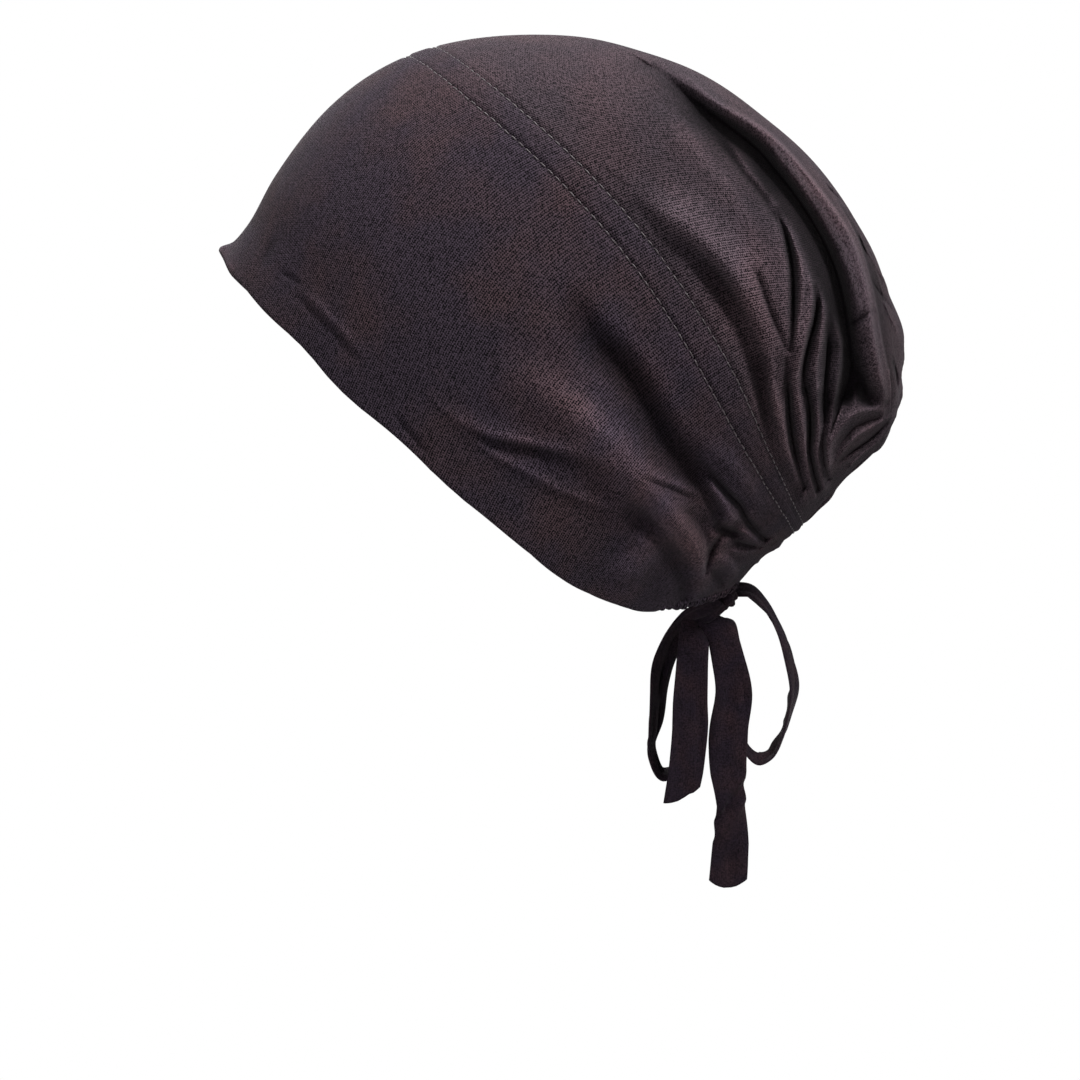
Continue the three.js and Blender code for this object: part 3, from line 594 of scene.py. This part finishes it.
crownCloth = {"columns": 404, "rows": 206, "crowdStart": 2.0, "crowdEnd": 0.0, "crowdMiddle": 1.0,
              "wall": 0.0011, "innerEvery": 8, "girth": 0.26, "measureFromEnd": 0, "tip": 0.03,
              "gathers": 46, "gatherHeight": 0.0011, "gatherReach": 0.034, "ripple": 0.0004,
              "rippleFrom": 1.3, "rippleTo": 1.8, "seamReach": 0.0045, "grooveDepth": 0.0005,
              "grooveReach": 0.0018}
bandCloth = {"columns": 440, "rows": 136, "crowdStart": 1.0, "crowdEnd": 1.5, "crowdMiddle": 0.0,
             "wall": 0.0016, "innerEvery": 6, "girth": 0.26, "measureFromEnd": 1,
             "gathers": 40, "gatherHeight": 0.0008, "gatherReach": 0.030, "gatherLast": 0.9,
             "seamReach": 0.004, "grooveDepth": 0.0005, "grooveReach": 0.0018}
stripCloth = {"columns": 440, "rows": 15, "crowdStart": 0.3, "crowdEnd": 0.3, "crowdMiddle": 0.0,
              "wall": 0.0018, "innerEvery": 7, "girth": 0.26, "measureFromEnd": 0,
              "sunk": 0.0005, "rise": 0.0006, "edgeReach": 0.0016}


def crownLift(place, turn, points, normals):
    lift = foldLift(points, normals, crownFolds, crownFoldsRight) + gatherLift(place, turn, points, crownCloth)
    ripple = crownCloth["ripple"] * np.sin(9 * place + 5 * turn) * np.sin(23 * turn + 3 * place)
    lift = lift + ripple * smoothStep(crownCloth["rippleFrom"], crownCloth["rippleTo"], place)
    return sewnDown(lift, place, turn, np.broadcast_to(upperRow(turn[0]), place.shape), crownCloth)


def bandLift(place, turn, points, normals):
    gathers = gatherLift(place, turn, points, bandCloth) * (1 - smoothStep(bandCloth["gatherLast"], 1.0, place))
    lift = foldLift(points, normals, bandFolds, bandFoldsRight) + gathers
    return sewnDown(lift, place, turn, np.ones_like(place), bandCloth)


def stripLift(place, turn, points, normals):
    high = np.broadcast_to(upperRow(turn[0]), place.shape)
    edge = np.minimum(seamFade(place, turn, np.ones_like(place), stripCloth["edgeReach"]),
                      seamFade(place, turn, high, stripCloth["edgeReach"]))
    return -stripCloth["sunk"] + stripCloth["rise"] * edge


crown = clothShell("crownCloth", crownCloth, lambda t: placeBehind(upperRow(t), t, seamHalfGap),
                   lambda t: np.full_like(t, lastPlace - crownCloth["tip"]), crownLift, closed=True)
print("crown gathered")
band = clothShell("bandCloth", bandCloth, bandEdge, lambda t: placeBehind(1.0, t, -seamHalfGap), bandLift)
print("band stretched")
strip = clothShell("seamCloth", stripCloth, lambda t: placeBehind(1.0, t, seamHalfGap),
                   lambda t: placeBehind(upperRow(t), t, -seamHalfGap), stripLift)
print("seam laid")


def makeCasing():
    # The narrow gathered channel along the nape edge.
    stations, sides = casingSize["stations"], casingSize["sides"]
    first = casingSize["from"] + casingSize["taper"] * casingSize["start"]
    turns = np.linspace(first, 2 - first, stations)
    place = placeBehind(0.0, turns, casingSize["height"] / 2)
    centre = smoothCloth(place, turns) - clothNormal(place, turns) * bandCloth["wall"] / 2
    out = clothNormal(np.full(stations, 0.02), turns)
    forward = unit(np.gradient(centre, axis=0))
    down = unit(np.cross(out, forward))
    dice = np.random.default_rng(casingSize["seed"])
    phase = np.cumsum(dice.uniform(*casingSize["puckerStep"], stations)) * casingSize["puckerRate"]
    pucker = casingSize["pucker"] * (np.sin(phase) * 0.7 + np.sin(0.37 * phase + 1) * 0.5)  # two uneven rhythms
    fromEnd = np.minimum(np.linspace(0, 1, stations), np.linspace(1, 0, stations))
    ends = smoothStep(0, casingSize["endShare"], fromEnd)
    angle = 2 * np.pi * (np.arange(sides) + 0.5) / sides
    slim, low = casingSize["endThickness"], casingSize["endHeight"]
    thick = (casingSize["thickness"] / 2 * (slim + (1 - slim) * ends) + pucker)[:, None]
    tall = (casingSize["height"] / 2 * (low + (1 - low) * ends) + pucker * 0.5)[:, None]
    points = (centre[:, None, :] + out[:, None, :] * (np.cos(angle) * thick)[..., None]
              + down[:, None, :] * (np.sin(angle) * tall)[..., None])
    faces = []
    for station in range(stations - 1):
        faces += ringFaces((station + 1) * sides, station * sides, sides)
    faces.append(list(range(sides)))
    faces.append([(stations - 1) * sides + i for i in range(sides)][::-1])
    around = angle[None, :] * casingSize["uvRadius"]
    uv = np.stack(np.broadcast_arrays(lengthAlong(centre)[:, None], around), axis=-1).reshape(-1, 2)
    return meshFrom("casingCloth", points.reshape(-1, 3), faces, uv)


casing = makeCasing()
print("casing gathered")


# The ties' routes in millimetres, with the way that the flat tie's width points, in degrees.
leftRoute = [
    (9.0, 55.5, -168.0, 60), (8.6, 51.0, -171.5, 60), (6.0, 46.5, -174.5, 50), (2.5, 42.5, -180.0, 45),
    (-1.0, 39.0, -190.0, 45), (-2.0, 37.4, -201.0, 34), (-2.5, 36.6, -212.0, 28), (-2.5, 36.0, -222.0, 12),
    (-2.5, 39.6, -228.8, 0), (-2.5, 43.6, -227.0, -12), (-2.5, 45.4, -217.4, -18), (-2.5, 46.6, -203.7, -18),
    (-2.0, 48.0, -190.0, -10), (0.5, 48.6, -181.5, 10), (4.5, 48.4, -176.4, 50), (8.6, 47.6, -179.5, 84),
    (10.2, 46.7, -190.0, 88), (10.2, 46.4, -200.0, 92), (10.0, 46.6, -210.0, 90), (10.0, 45.8, -220.0, 86),
    (10.0, 44.2, -233.2, 84),
]
rightRoute = [
    (-8.6, 62.4, -167.6, 20), (-8.0, 67.8, -168.4, 15), (-7.0, 72.4, -172.9, 12), (-6.0, 77.0, -180.3, 12),
    (-6.0, 81.0, -191.2, 18), (-6.0, 82.7, -201.4, 24), (-6.0, 81.4, -209.4, 20), (-6.0, 79.5, -217.0, 16),
    (-6.0, 75.7, -223.6, 8), (-5.5, 70.6, -225.0, 0), (-5.5, 67.2, -221.0, -8), (-5.5, 65.6, -212.5, -14),
    (-5.5, 63.6, -200.5, -14), (-4.5, 60.6, -188.5, -8), (-2.0, 57.2, -181.0, 10), (1.5, 55.4, -174.4, 50),
    (5.0, 56.2, -177.5, 84), (6.0, 58.6, -187.0, 90), (6.0, 60.8, -198.2, 92), (6.0, 59.6, -211.6, 92),
    (6.0, 59.6, -221.8, 88), (6.0, 60.7, -233.8, 80), (6.0, 61.3, -245.9, 88), (6.0, 60.9, -256.4, 92),
    (6.0, 60.5, -265.5, 92),
]
tieShape = {"sides": 28, "flatness": 0.75, "thickness": 0.0013, "hem": 0.35, "uvHalfWidth": 0.006,
            "curl": 0.0013, "curlWaves": 4, "curlSize": (0.2, 0.5), "curlRate": (1, 7), "curlMiddle": 0.4,
            "crease": 0.0011, "creases": 5, "creaseAt": (-0.7, 0.7), "creaseWidth": (0.06, 0.14),
            "creaseRate": (2, 9), "creaseWander": 0.25, "phase": (0, 6), "endFrom": 0.93}
# Where the tail is folded over itself along a slanted line, in shares of the tie's length.
tieTwist = {"at": 0.872, "slant": 0.028, "reach": 0.010, "rise": 0.0022, "dip": 0.0016, "dipAt": 1.6}


def flatTie(name, route, settings):
    rows = np.array(route, float)
    rows[:, :3] /= 1000
    reach = lengthAlong(rows[:, :3])
    steps, sides = settings["steps"], settings["sides"]
    at = np.linspace(0, reach[-1], steps)
    line = curveThrough(reach, rows, at)
    centre, edge = line[:, :3], np.radians(line[:, 3])
    ahead = unit(np.gradient(centre, axis=0))
    acrossX = unit(np.array([1.0, 0, 0]) - ahead * ahead[:, :1])
    side = unit(np.cross(ahead, acrossX))
    width = acrossX * np.cos(edge)[:, None] + side * np.sin(edge)[:, None]
    out = unit(np.cross(ahead, width))
    share = at / reach[-1]
    wide = np.interp(share, settings["widthAt"], settings["widths"]) / 2000
    dice = np.random.default_rng(settings["seed"])
    angle = 2 * np.pi * (np.arange(sides) + 0.5) / sides
    flatX = np.sign(np.cos(angle)) * np.abs(np.cos(angle)) ** settings["flatness"]
    flatY = np.sin(angle)

    def draw(key):
        return dice.uniform(*settings[key])

    curl = sum(draw("curlSize") * np.sin(2 * np.pi * share * draw("curlRate") + draw("phase"))
               for i in range(settings["curlWaves"])) * settings["curl"]
    creases = [[draw(key) for key in ("creaseAt", "creaseWidth", "creaseRate", "phase")]
               for i in range(settings["creases"])]
    bend = curl[:, None] * (flatX[None, :] ** 2 - settings["curlMiddle"])
    for middle, spread, rate, phase in creases:
        wander = middle + settings["creaseWander"] * np.sin(2 * np.pi * share * rate * 0.4 + phase)
        strength = settings["crease"] * (0.5 + 0.5 * np.sin(2 * np.pi * share * rate + phase))
        bend = bend + strength[:, None] * np.exp(-((flatX[None, :] - wander[:, None]) / spread) ** 2)
    twist = settings.get("twist")
    if twist:
        across = (share[:, None] - twist["at"] - twist["slant"] * flatX[None, :]) / twist["reach"]
        bend = bend + twist["rise"] * np.exp(-across ** 2)
        bend = bend - twist["dip"] * np.exp(-(across - twist["dipAt"]) ** 2)
    thick = settings["thickness"] / 2 * (1 + settings["hem"] * np.abs(flatX) ** 6)
    points = (centre[:, None, :] + width[:, None, :] * (flatX[None, :] * wide[:, None])[..., None]
              + out[:, None, :] * (bend + (flatY * thick)[None, :])[..., None])
    drop = settings["endSlant"] * flatX - settings["endRound"] * flatX ** 2
    nearEnd = smoothStep(settings["endFrom"], 1.0, share)
    points = points + ahead[:, None, :] * (nearEnd[:, None] * drop[None, :])[..., None]
    faces = []
    for step in range(steps - 1):
        faces += ringFaces(step * sides, (step + 1) * sides, sides, flip=True)
    last = (steps - 1) * sides
    for i in range(sides // 2 - 1):  # both ends are closed with strips across the tie
        corners = [i, i + 1, sides - 2 - i, sides - 1 - i]
        faces += [corners, [last + corner for corner in corners[::-1]]]
    uv = np.stack(np.broadcast_arrays(flatX[None, :] * settings["uvHalfWidth"], at[:, None]), axis=-1)
    return meshFrom(name, points.reshape(-1, 3), faces, uv.reshape(-1, 2)), centre, reach[-1]


# Widths in millimetres, at shares of the tie's length.
leftTie = dict(tieShape, steps=260, seed=51, endSlant=0.0033, endRound=0.0014,
               widthAt=(0, 0.05, 0.15, 0.3, 0.42, 0.5, 0.6, 0.7, 0.78, 0.86, 1),
               widths=(9.5, 11, 12, 11.5, 12, 12, 12, 9.5, 10.5, 11.6, 11.4))
rightTie = dict(tieShape, steps=300, seed=52, endSlant=0.0006, endRound=0.0028, twist=tieTwist,
                widthAt=(0, 0.05, 0.15, 0.3, 0.42, 0.55, 0.62, 0.70, 0.77, 0.82, 0.87, 0.93, 1),
                widths=(9.0, 11, 12, 11.5, 12, 12, 10, 12.0, 12.8, 12.0, 9.4, 12.0, 12.6))
tieLeft, leftLine, leftLength = flatTie("tieLeft", leftRoute, leftTie)
tieRight, rightLine, rightLength = flatTie("tieRight", rightRoute, rightTie)
print("ties hung", round(leftLength, 3), round(rightLength, 3))


knotSize = {"width": 0.0114, "length": 0.0090, "height": 0.0090, "segments": 48, "rings": 32,
            "wraps": 9, "wrapSlant": 14, "wrapDepth": 0.10, "waist": 0.16, "slimmer": 1.2}


def makeKnot():
    low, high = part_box("bow_knot")
    bpy.ops.object.select_all(action="DESELECT")
    bpy.ops.mesh.primitive_uv_sphere_add(segments=knotSize["segments"], ring_count=knotSize["rings"], radius=0.5)
    knot = bpy.context.object
    knot.name = knot.data.name = "knotCloth"
    points = np.empty(len(knot.data.vertices) * 3)
    knot.data.vertices.foreach_get("co", points)
    points = points.reshape(-1, 3)
    angle, across = np.arctan2(points[:, 2], points[:, 1]), points[:, 0]
    wraps = np.cos(knotSize["wraps"] * angle + knotSize["wrapSlant"] * across)
    wrap = 1 + knotSize["wrapDepth"] * wraps * (1 - (2 * across) ** 2)
    waist = 1 + knotSize["waist"] * np.cos(2 * np.pi * across * 2)
    points[:, 1:] *= (wrap * waist / knotSize["slimmer"])[:, None]
    size = np.array([knotSize["width"], knotSize["length"], knotSize["height"]])
    points = points * size + (np.array(low) + np.array(high)) / 2
    knot.data.vertices.foreach_set("co", points.ravel())
    knot.data.polygons.foreach_set("use_smooth", [True] * len(knot.data.polygons))
    knot.data.update()
    return knot


knot = makeKnot()
print("knot tied")


# The topstitching: one stitch is modelled, then laid end to end along both rows.
stitch = {"length": 0.00235, "pitch": 0.0027, "radius": 0.00016, "stand": 0.00016, "dip": 0.00042,
          "sunk": 0.00035, "sides": 6, "cuts": 5, "uneven": (0.92, 1.05), "sway": 0.00012, "slope": 0.00016,
          "taper": 0.45, "flat": 0.8, "samples": 6001}


def inEditMode(select, *steps):
    bpy.ops.object.mode_set(mode="EDIT")
    bpy.ops.mesh.select_all(action=select)
    for step in steps:
        step()
    bpy.ops.object.mode_set(mode="OBJECT")


def modelStitch():
    bpy.ops.object.select_all(action="DESELECT")
    bpy.ops.mesh.primitive_cylinder_add(vertices=stitch["sides"], radius=1, depth=1, end_fill_type="TRIFAN")
    model = bpy.context.object
    inEditMode("DESELECT")
    for e in model.data.edges:  # the edges from end to end
        ends = [model.data.vertices[v].co.z for v in e.vertices]
        e.select = ends[0] * ends[1] < 0
    bpy.ops.object.mode_set(mode="EDIT")
    bpy.ops.mesh.subdivide(number_cuts=stitch["cuts"])
    bpy.ops.object.mode_set(mode="OBJECT")
    points = np.array([v.co[:] for v in model.data.vertices])
    faces = [list(p.vertices) for p in model.data.polygons]
    bpy.data.objects.remove(model)
    return points, faces


def layStitches(name, rowPlace, seed):
    model, modelFaces = modelStitch()
    turns = np.linspace(0, 2, stitch["samples"])
    place = rowPlace(turns)
    normals = clothNormal(place, turns)
    line = smoothCloth(place, turns) + normals * -stitch["sunk"]
    reach = lengthAlong(line)
    number = int(reach[-1] / stitch["pitch"])
    share = model[:, 2] + 0.5
    bow = stitch["stand"] - stitch["dip"] * np.abs(2 * share - 1) ** 3
    thin = stitch["radius"] * (1 - stitch["taper"] * np.abs(2 * share - 1) ** 4)
    dice = np.random.default_rng(seed)
    points, faces = [], []

    def rowAt(rows, at):
        return np.stack([np.interp(at, reach, rows[:, k]) for k in range(3)], axis=-1)

    for i in range(number):
        start = i * reach[-1] / number
        length = stitch["length"] * dice.uniform(*stitch["uneven"])
        at = start + share * length
        out = unit(rowAt(normals, at))
        ahead = rowAt(line, start + length) - rowAt(line, start)
        across = unit(np.cross(out, ahead / np.linalg.norm(ahead)))
        sway = dice.uniform(-stitch["sway"], stitch["sway"])
        slope = dice.uniform(-stitch["slope"], stitch["slope"])
        points.append(rowAt(line, at) + across * (model[:, 0] * thin + sway + slope * (share - 0.5))[:, None]
                      + out * (model[:, 1] * thin * stitch["flat"] + bow)[:, None])
        faces += [[i * len(model) + v for v in face] for face in modelFaces]
    piece = meshFrom(name, np.concatenate(points), faces)
    bpy.ops.object.select_all(action="DESELECT")
    piece.select_set(True)
    bpy.context.view_layer.objects.active = piece
    inEditMode("SELECT", lambda: bpy.ops.mesh.normals_make_consistent(inside=False))
    return piece


lowerStitches = layStitches("stitchesLower", lowerRow, 61)
upperStitches = layStitches("stitchesUpper", upperRow, 62)
print("stitches laid")


# Materials
def feed(tree, pairs):
    for socket, value in pairs:
        if hasattr(value, "is_output"):
            tree.links.new(value, socket)
        else:
            socket.default_value = value


def mathNode(tree, operation, *values):
    node = tree.nodes.new("ShaderNodeMath")
    node.operation = operation
    feed(tree, zip(node.inputs, values))
    return node.outputs[0]


def mixColour(tree, share, first, second, blend="MIX"):
    node = tree.nodes.new("ShaderNodeMix")
    node.data_type = "RGBA"
    node.blend_type = blend
    feed(tree, ((node.inputs[0], share), (node.inputs[6], first), (node.inputs[7], second)))
    return node.outputs[2]


knitShape = {"wobbleScale": 260, "wobble": 0.5, "slant": 1.1, "rib": 0.10, "loops": 0.32, "legs": 0.42,
             "fuzzScale": 1700, "fuzz": 3.0, "warmFrom": 0.42, "warmGain": 4.0, "warmSmooth": 0.2,
             "roughness": 0.78, "roughFuzz": 0.2}


def jerseyGroup():
    # Columns of small V-shaped loops that follow the cloth's UV, with uneven yarn and soft fuzz.
    group = bpy.data.node_groups.new("jerseyKnit", "ShaderNodeTree")
    colour, number = "NodeSocketColor", "NodeSocketFloat"
    for label, kind, value in (
        ("Light", colour, (0.1, 0.1, 0.1, 1)), ("Dark", colour, (0.02, 0.02, 0.02, 1)),
        ("Warm", colour, (0.1, 0.08, 0.08, 1)), ("Wale", number, 0.0008), ("Course", number, 0.0006),
        ("Contrast", number, 0.5), ("Blotch", number, 30.0),
    ):
        socket = group.interface.new_socket(name=label, in_out="INPUT", socket_type=kind)
        socket.default_value = value
    for label, kind in (("Color", colour), ("Height", number), ("Roughness", number)):
        group.interface.new_socket(name=label, in_out="OUTPUT", socket_type=kind)
    start = group.nodes.new("NodeGroupInput")
    finish = group.nodes.new("NodeGroupOutput")
    uv = group.nodes.new("ShaderNodeUVMap")
    uv.uv_map = "clothUV"
    split = group.nodes.new("ShaderNodeSeparateXYZ")
    group.links.new(uv.outputs[0], split.inputs[0])
    coords = group.nodes.new("ShaderNodeTexCoord")

    def noise(scale, detail):
        node = group.nodes.new("ShaderNodeTexNoise")
        feed(group, ((node.inputs["Vector"], coords.outputs["Object"]), (node.inputs["Scale"], scale),
                     (node.inputs["Detail"], detail)))
        return node.outputs[0]

    def calc(operation, *values):
        return mathNode(group, operation, *values)

    def wave(value, rate):
        return calc("COSINE", calc("MULTIPLY", value, rate * math.pi))

    shift = calc("MULTIPLY", calc("SUBTRACT", noise(knitShape["wobbleScale"], 2), 0.5), knitShape["wobble"])
    wales = calc("ADD", calc("DIVIDE", split.outputs[0], start.outputs["Wale"]), shift)
    within = calc("ABSOLUTE", calc("SUBTRACT", calc("FRACT", wales), 0.5))
    courses = calc("DIVIDE", split.outputs[1], start.outputs["Course"])
    slanted = calc("ADD", courses, calc("MULTIPLY", within, knitShape["slant"]))
    height = calc("ADD", calc("MULTIPLY", wave(within, 2), knitShape["rib"]),
                  calc("MULTIPLY", wave(slanted, 2), knitShape["loops"]))
    height = calc("ADD", height, calc("MULTIPLY", wave(within, 4), knitShape["legs"]))
    fuzz = noise(knitShape["fuzzScale"], 3)
    height = calc("ADD", calc("ADD", height, 0.5),
                  calc("MULTIPLY", calc("SUBTRACT", fuzz, 0.5), knitShape["fuzz"]))
    blotch = calc("SUBTRACT", noise(start.outputs["Blotch"], 4), knitShape["warmFrom"])
    blotch = calc("MAXIMUM", calc("MULTIPLY", blotch, knitShape["warmGain"]), 0.0)
    tone = mixColour(group, calc("SMOOTH_MIN", 1.0, blotch, knitShape["warmSmooth"]), start.outputs["Light"],
                     start.outputs["Warm"])
    # The colour darkens towards Dark where the knit is low: painted shade in the gaps between the loops, and
    # uneven tone from the fuzz.
    depth = calc("MULTIPLY", calc("SUBTRACT", 1.0, height), start.outputs["Contrast"])
    depth = calc("MINIMUM", calc("MAXIMUM", depth, 0.0), 1.0)
    rough = calc("ADD", knitShape["roughness"], calc("MULTIPLY", fuzz, knitShape["roughFuzz"]))
    group.links.new(mixColour(group, depth, tone, start.outputs["Dark"]), finish.inputs["Color"])
    group.links.new(height, finish.inputs["Height"])
    group.links.new(rough, finish.inputs["Roughness"])
    return group


jersey = jerseyGroup()


def linear(red, green, blue):
    # A colour given from 0 to 255, in the shader's own scale.
    def channel(value):
        value = value / 255
        return value / 12.92 if value <= 0.04045 else ((value + 0.055) / 1.055) ** 2.4
    return (channel(red), channel(green), channel(blue), 1)


def plainMaterial(name, look):
    material = bpy.data.materials.new(name)
    material.use_nodes = True
    shader = material.node_tree.nodes["Principled BSDF"]
    for label, value in look.items():
        shader.inputs[label].default_value = value
    return material, material.node_tree, shader


def jerseyMaterial(name, look):
    material, tree, shader = plainMaterial(name, jerseyGloss)
    knit = tree.nodes.new("ShaderNodeGroup")
    knit.node_tree = jersey
    for label in ("Light", "Dark", "Warm", "Wale", "Course", "Contrast", "Blotch"):
        knit.inputs[label].default_value = look[label]
    paintedShadeAndHighlight = tree.nodes.new("ShaderNodeAttribute")
    paintedShadeAndHighlight.attribute_name = "paintedShadeAndHighlight"

    def shareOf(strength):
        return mathNode(tree, "MAXIMUM", mathNode(tree, "MULTIPLY", paintedShadeAndHighlight.outputs["Fac"], strength), 0.0)

    # Painted shade darkens the knit's colour in the folds' hollows, and painted highlight lightens it on their
    # crests.
    shaded = mixColour(tree, shareOf(-look["hollowShade"]), knit.outputs["Color"], look["PaintedShade"], "MULTIPLY")
    lit = mixColour(tree, shareOf(look["crestLight"]), shaded, look["PaintedHighlight"], "MULTIPLY")
    tree.links.new(lit, shader.inputs["Base Color"])
    tree.links.new(knit.outputs["Roughness"], shader.inputs["Roughness"])
    bump = tree.nodes.new("ShaderNodeBump")
    bump.inputs["Strength"].default_value = look["bump"]
    bump.inputs["Distance"].default_value = look["bumpHeight"]
    tree.links.new(knit.outputs["Height"], bump.inputs["Height"])
    tree.links.new(bump.outputs["Normal"], shader.inputs["Normal"])
    return material


jerseyGloss = {"Specular IOR Level": 0.06, "Sheen Weight": 0.06, "Sheen Roughness": 0.4,
               "Sheen Tint": linear(210, 200, 205)}
# The last four entries paint shade into the folds' hollows and highlight onto their crests.
bandLook = {"Light": linear(54, 46, 55), "Dark": linear(3, 2, 4), "Warm": linear(64, 50, 54),
            "Wale": 0.00118, "Course": 0.00062, "Contrast": 1.0, "Blotch": 45.0, "bump": 0.35,
            "bumpHeight": 0.0002, "hollowShade": 0.85, "crestLight": 0.62, "PaintedShade": (0.06, 0.05, 0.07, 1),
            "PaintedHighlight": (3.0, 2.9, 2.8, 1)}
# The crown's colours are set lighter than the band's: painted light for the crown's top, which gets more light.
# Its folds' hollows get stronger painted shade.
crownLook = dict(bandLook, Light=linear(61, 52, 58), Warm=linear(69, 56, 61), Dark=linear(4, 3, 5),
                 hollowShade=0.95)
stripLook = dict(bandLook, Light=linear(54, 46, 54), Warm=linear(62, 50, 55))
tieLook = dict(bandLook, Light=linear(37, 29, 38), Warm=linear(48, 35, 40), Dark=linear(5, 4, 6),
               Wale=0.0007, Course=0.0005, Contrast=0.8, Blotch=110.0)
threadLook = {"Base Color": linear(60, 50, 54), "Roughness": 0.55, "Sheen Weight": 0.2}

bandJersey = jerseyMaterial("bandJersey", bandLook)
crownJersey = jerseyMaterial("crownJersey", crownLook)
stripJersey = jerseyMaterial("stripJersey", stripLook)
tieJersey = jerseyMaterial("tieJersey", tieLook)
thread = plainMaterial("sewingThread", threadLook)[0]
print("materials set")


def whiteToCamera(tree, lighting, white, output):
    # The camera sees plain white here, while the cap is lit by the softer shader.
    path = tree.nodes.new("ShaderNodeLightPath")
    mix = tree.nodes.new("ShaderNodeMixShader")
    for socket, value in zip(mix.inputs, (path.outputs["Is Camera Ray"], lighting.outputs[0], white.outputs[0])):
        tree.links.new(value, socket)
    tree.links.new(mix.outputs[0], tree.nodes[output].inputs["Surface"])


# The pale sweep that the cap is pictured in: a floor that turns up into a wall all round.
sweep = {"depth": -0.46, "flat": 1.1, "bend": 0.7, "wall": 1.3, "sides": 96, "bendSteps": 12}
sweepLook = {"Base Color": (0.30, 0.30, 0.30, 1), "Roughness": 0.95, "Specular IOR Level": 0.1}


def makeFloor():
    profile = [(sweep["flat"] / 2, 0.0), (sweep["flat"], 0.0)]
    for i in range(1, sweep["bendSteps"] + 1):
        angle = math.pi / 2 * i / sweep["bendSteps"]
        profile.append((sweep["flat"] + sweep["bend"] * math.sin(angle), sweep["bend"] * (1 - math.cos(angle))))
    profile.append((sweep["flat"] + sweep["bend"], sweep["wall"]))
    count = sweep["sides"]
    points = [(0, 0, sweep["depth"])]
    for radius, height in profile:
        for i in range(count):
            angle = 2 * math.pi * i / count
            points.append((radius * math.cos(angle), radius * math.sin(angle), sweep["depth"] + height))
    faces = [[0, 1 + i, 1 + (i + 1) % count] for i in range(count)]
    for ring in range(len(profile) - 1):
        faces += ringFaces(1 + ring * count, 1 + (ring + 1) * count, count, flip=True)
    floor = meshFrom("paleFloor", np.array(points), faces)
    material, tree, shader = plainMaterial("paleSweep", sweepLook)
    whiteToCamera(tree, shader, tree.nodes.new("ShaderNodeEmission"), "Material Output")
    floor.data.materials.append(material)


makeFloor()

lights = {
    "key": {"place": (0.50, 0.55, 0.75), "size": 0.28, "power": 15.0},
    "overhead": {"place": (-0.05, 0.10, 1.00), "size": 0.8, "power": 15.0},
    "fill": {"place": (0.95, -0.30, 0.05), "size": 0.5, "power": 4.0},
    "back": {"place": (-0.5, 0.8, 0.45), "size": 0.6, "power": 1.5},
    "far": {"place": (-0.95, -0.25, 0.25), "size": 0.6, "power": 5.0},
}
lightTarget = (0, 0, -0.1)
roomStrength = 0.35


def makeLights():
    for name, light in lights.items():
        place = light["place"]
        bpy.ops.object.light_add(type="AREA", location=place, rotation=aimedAt(lightTarget, place))
        lamp = bpy.context.object
        lamp.name = name + "Light"
        lamp.data.shape = "DISK"
        lamp.data.size = light["size"]
        lamp.data.energy = light["power"]
    world = bpy.data.worlds.new("paleWorld")
    bpy.context.scene.world = world
    world.use_nodes = True
    tree = world.node_tree
    soft, white = tree.nodes["Background"], tree.nodes.new("ShaderNodeBackground")
    soft.inputs["Color"].default_value = white.inputs["Color"].default_value = (1, 1, 1, 1)
    soft.inputs["Strength"].default_value = roomStrength
    whiteToCamera(tree, soft, white, "World Output")
    bpy.context.scene.view_settings.view_transform = "Standard"


makeLights()
print("stage lit")


for piece, material, slotName in (
    (band, bandJersey, "band_jersey"), (casing, bandJersey, "band_jersey"),
    (crown, crownJersey, "crown_jersey"), (strip, stripJersey, "strip_jersey"),
    (tieLeft, tieJersey, "tie_jersey"), (tieRight, tieJersey, "tie_jersey"), (knot, tieJersey, "tie_jersey"),
    (lowerStitches, thread, "strip_jersey"), (upperStitches, thread, "strip_jersey"),
):
    piece.data.materials.append(material)
    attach(piece, "root")
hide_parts("front_band")
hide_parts("seam_strip")
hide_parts("crown_bag")
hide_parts("nape_casing")
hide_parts("bow_knot")
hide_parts("tie_left")
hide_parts("tie_right")
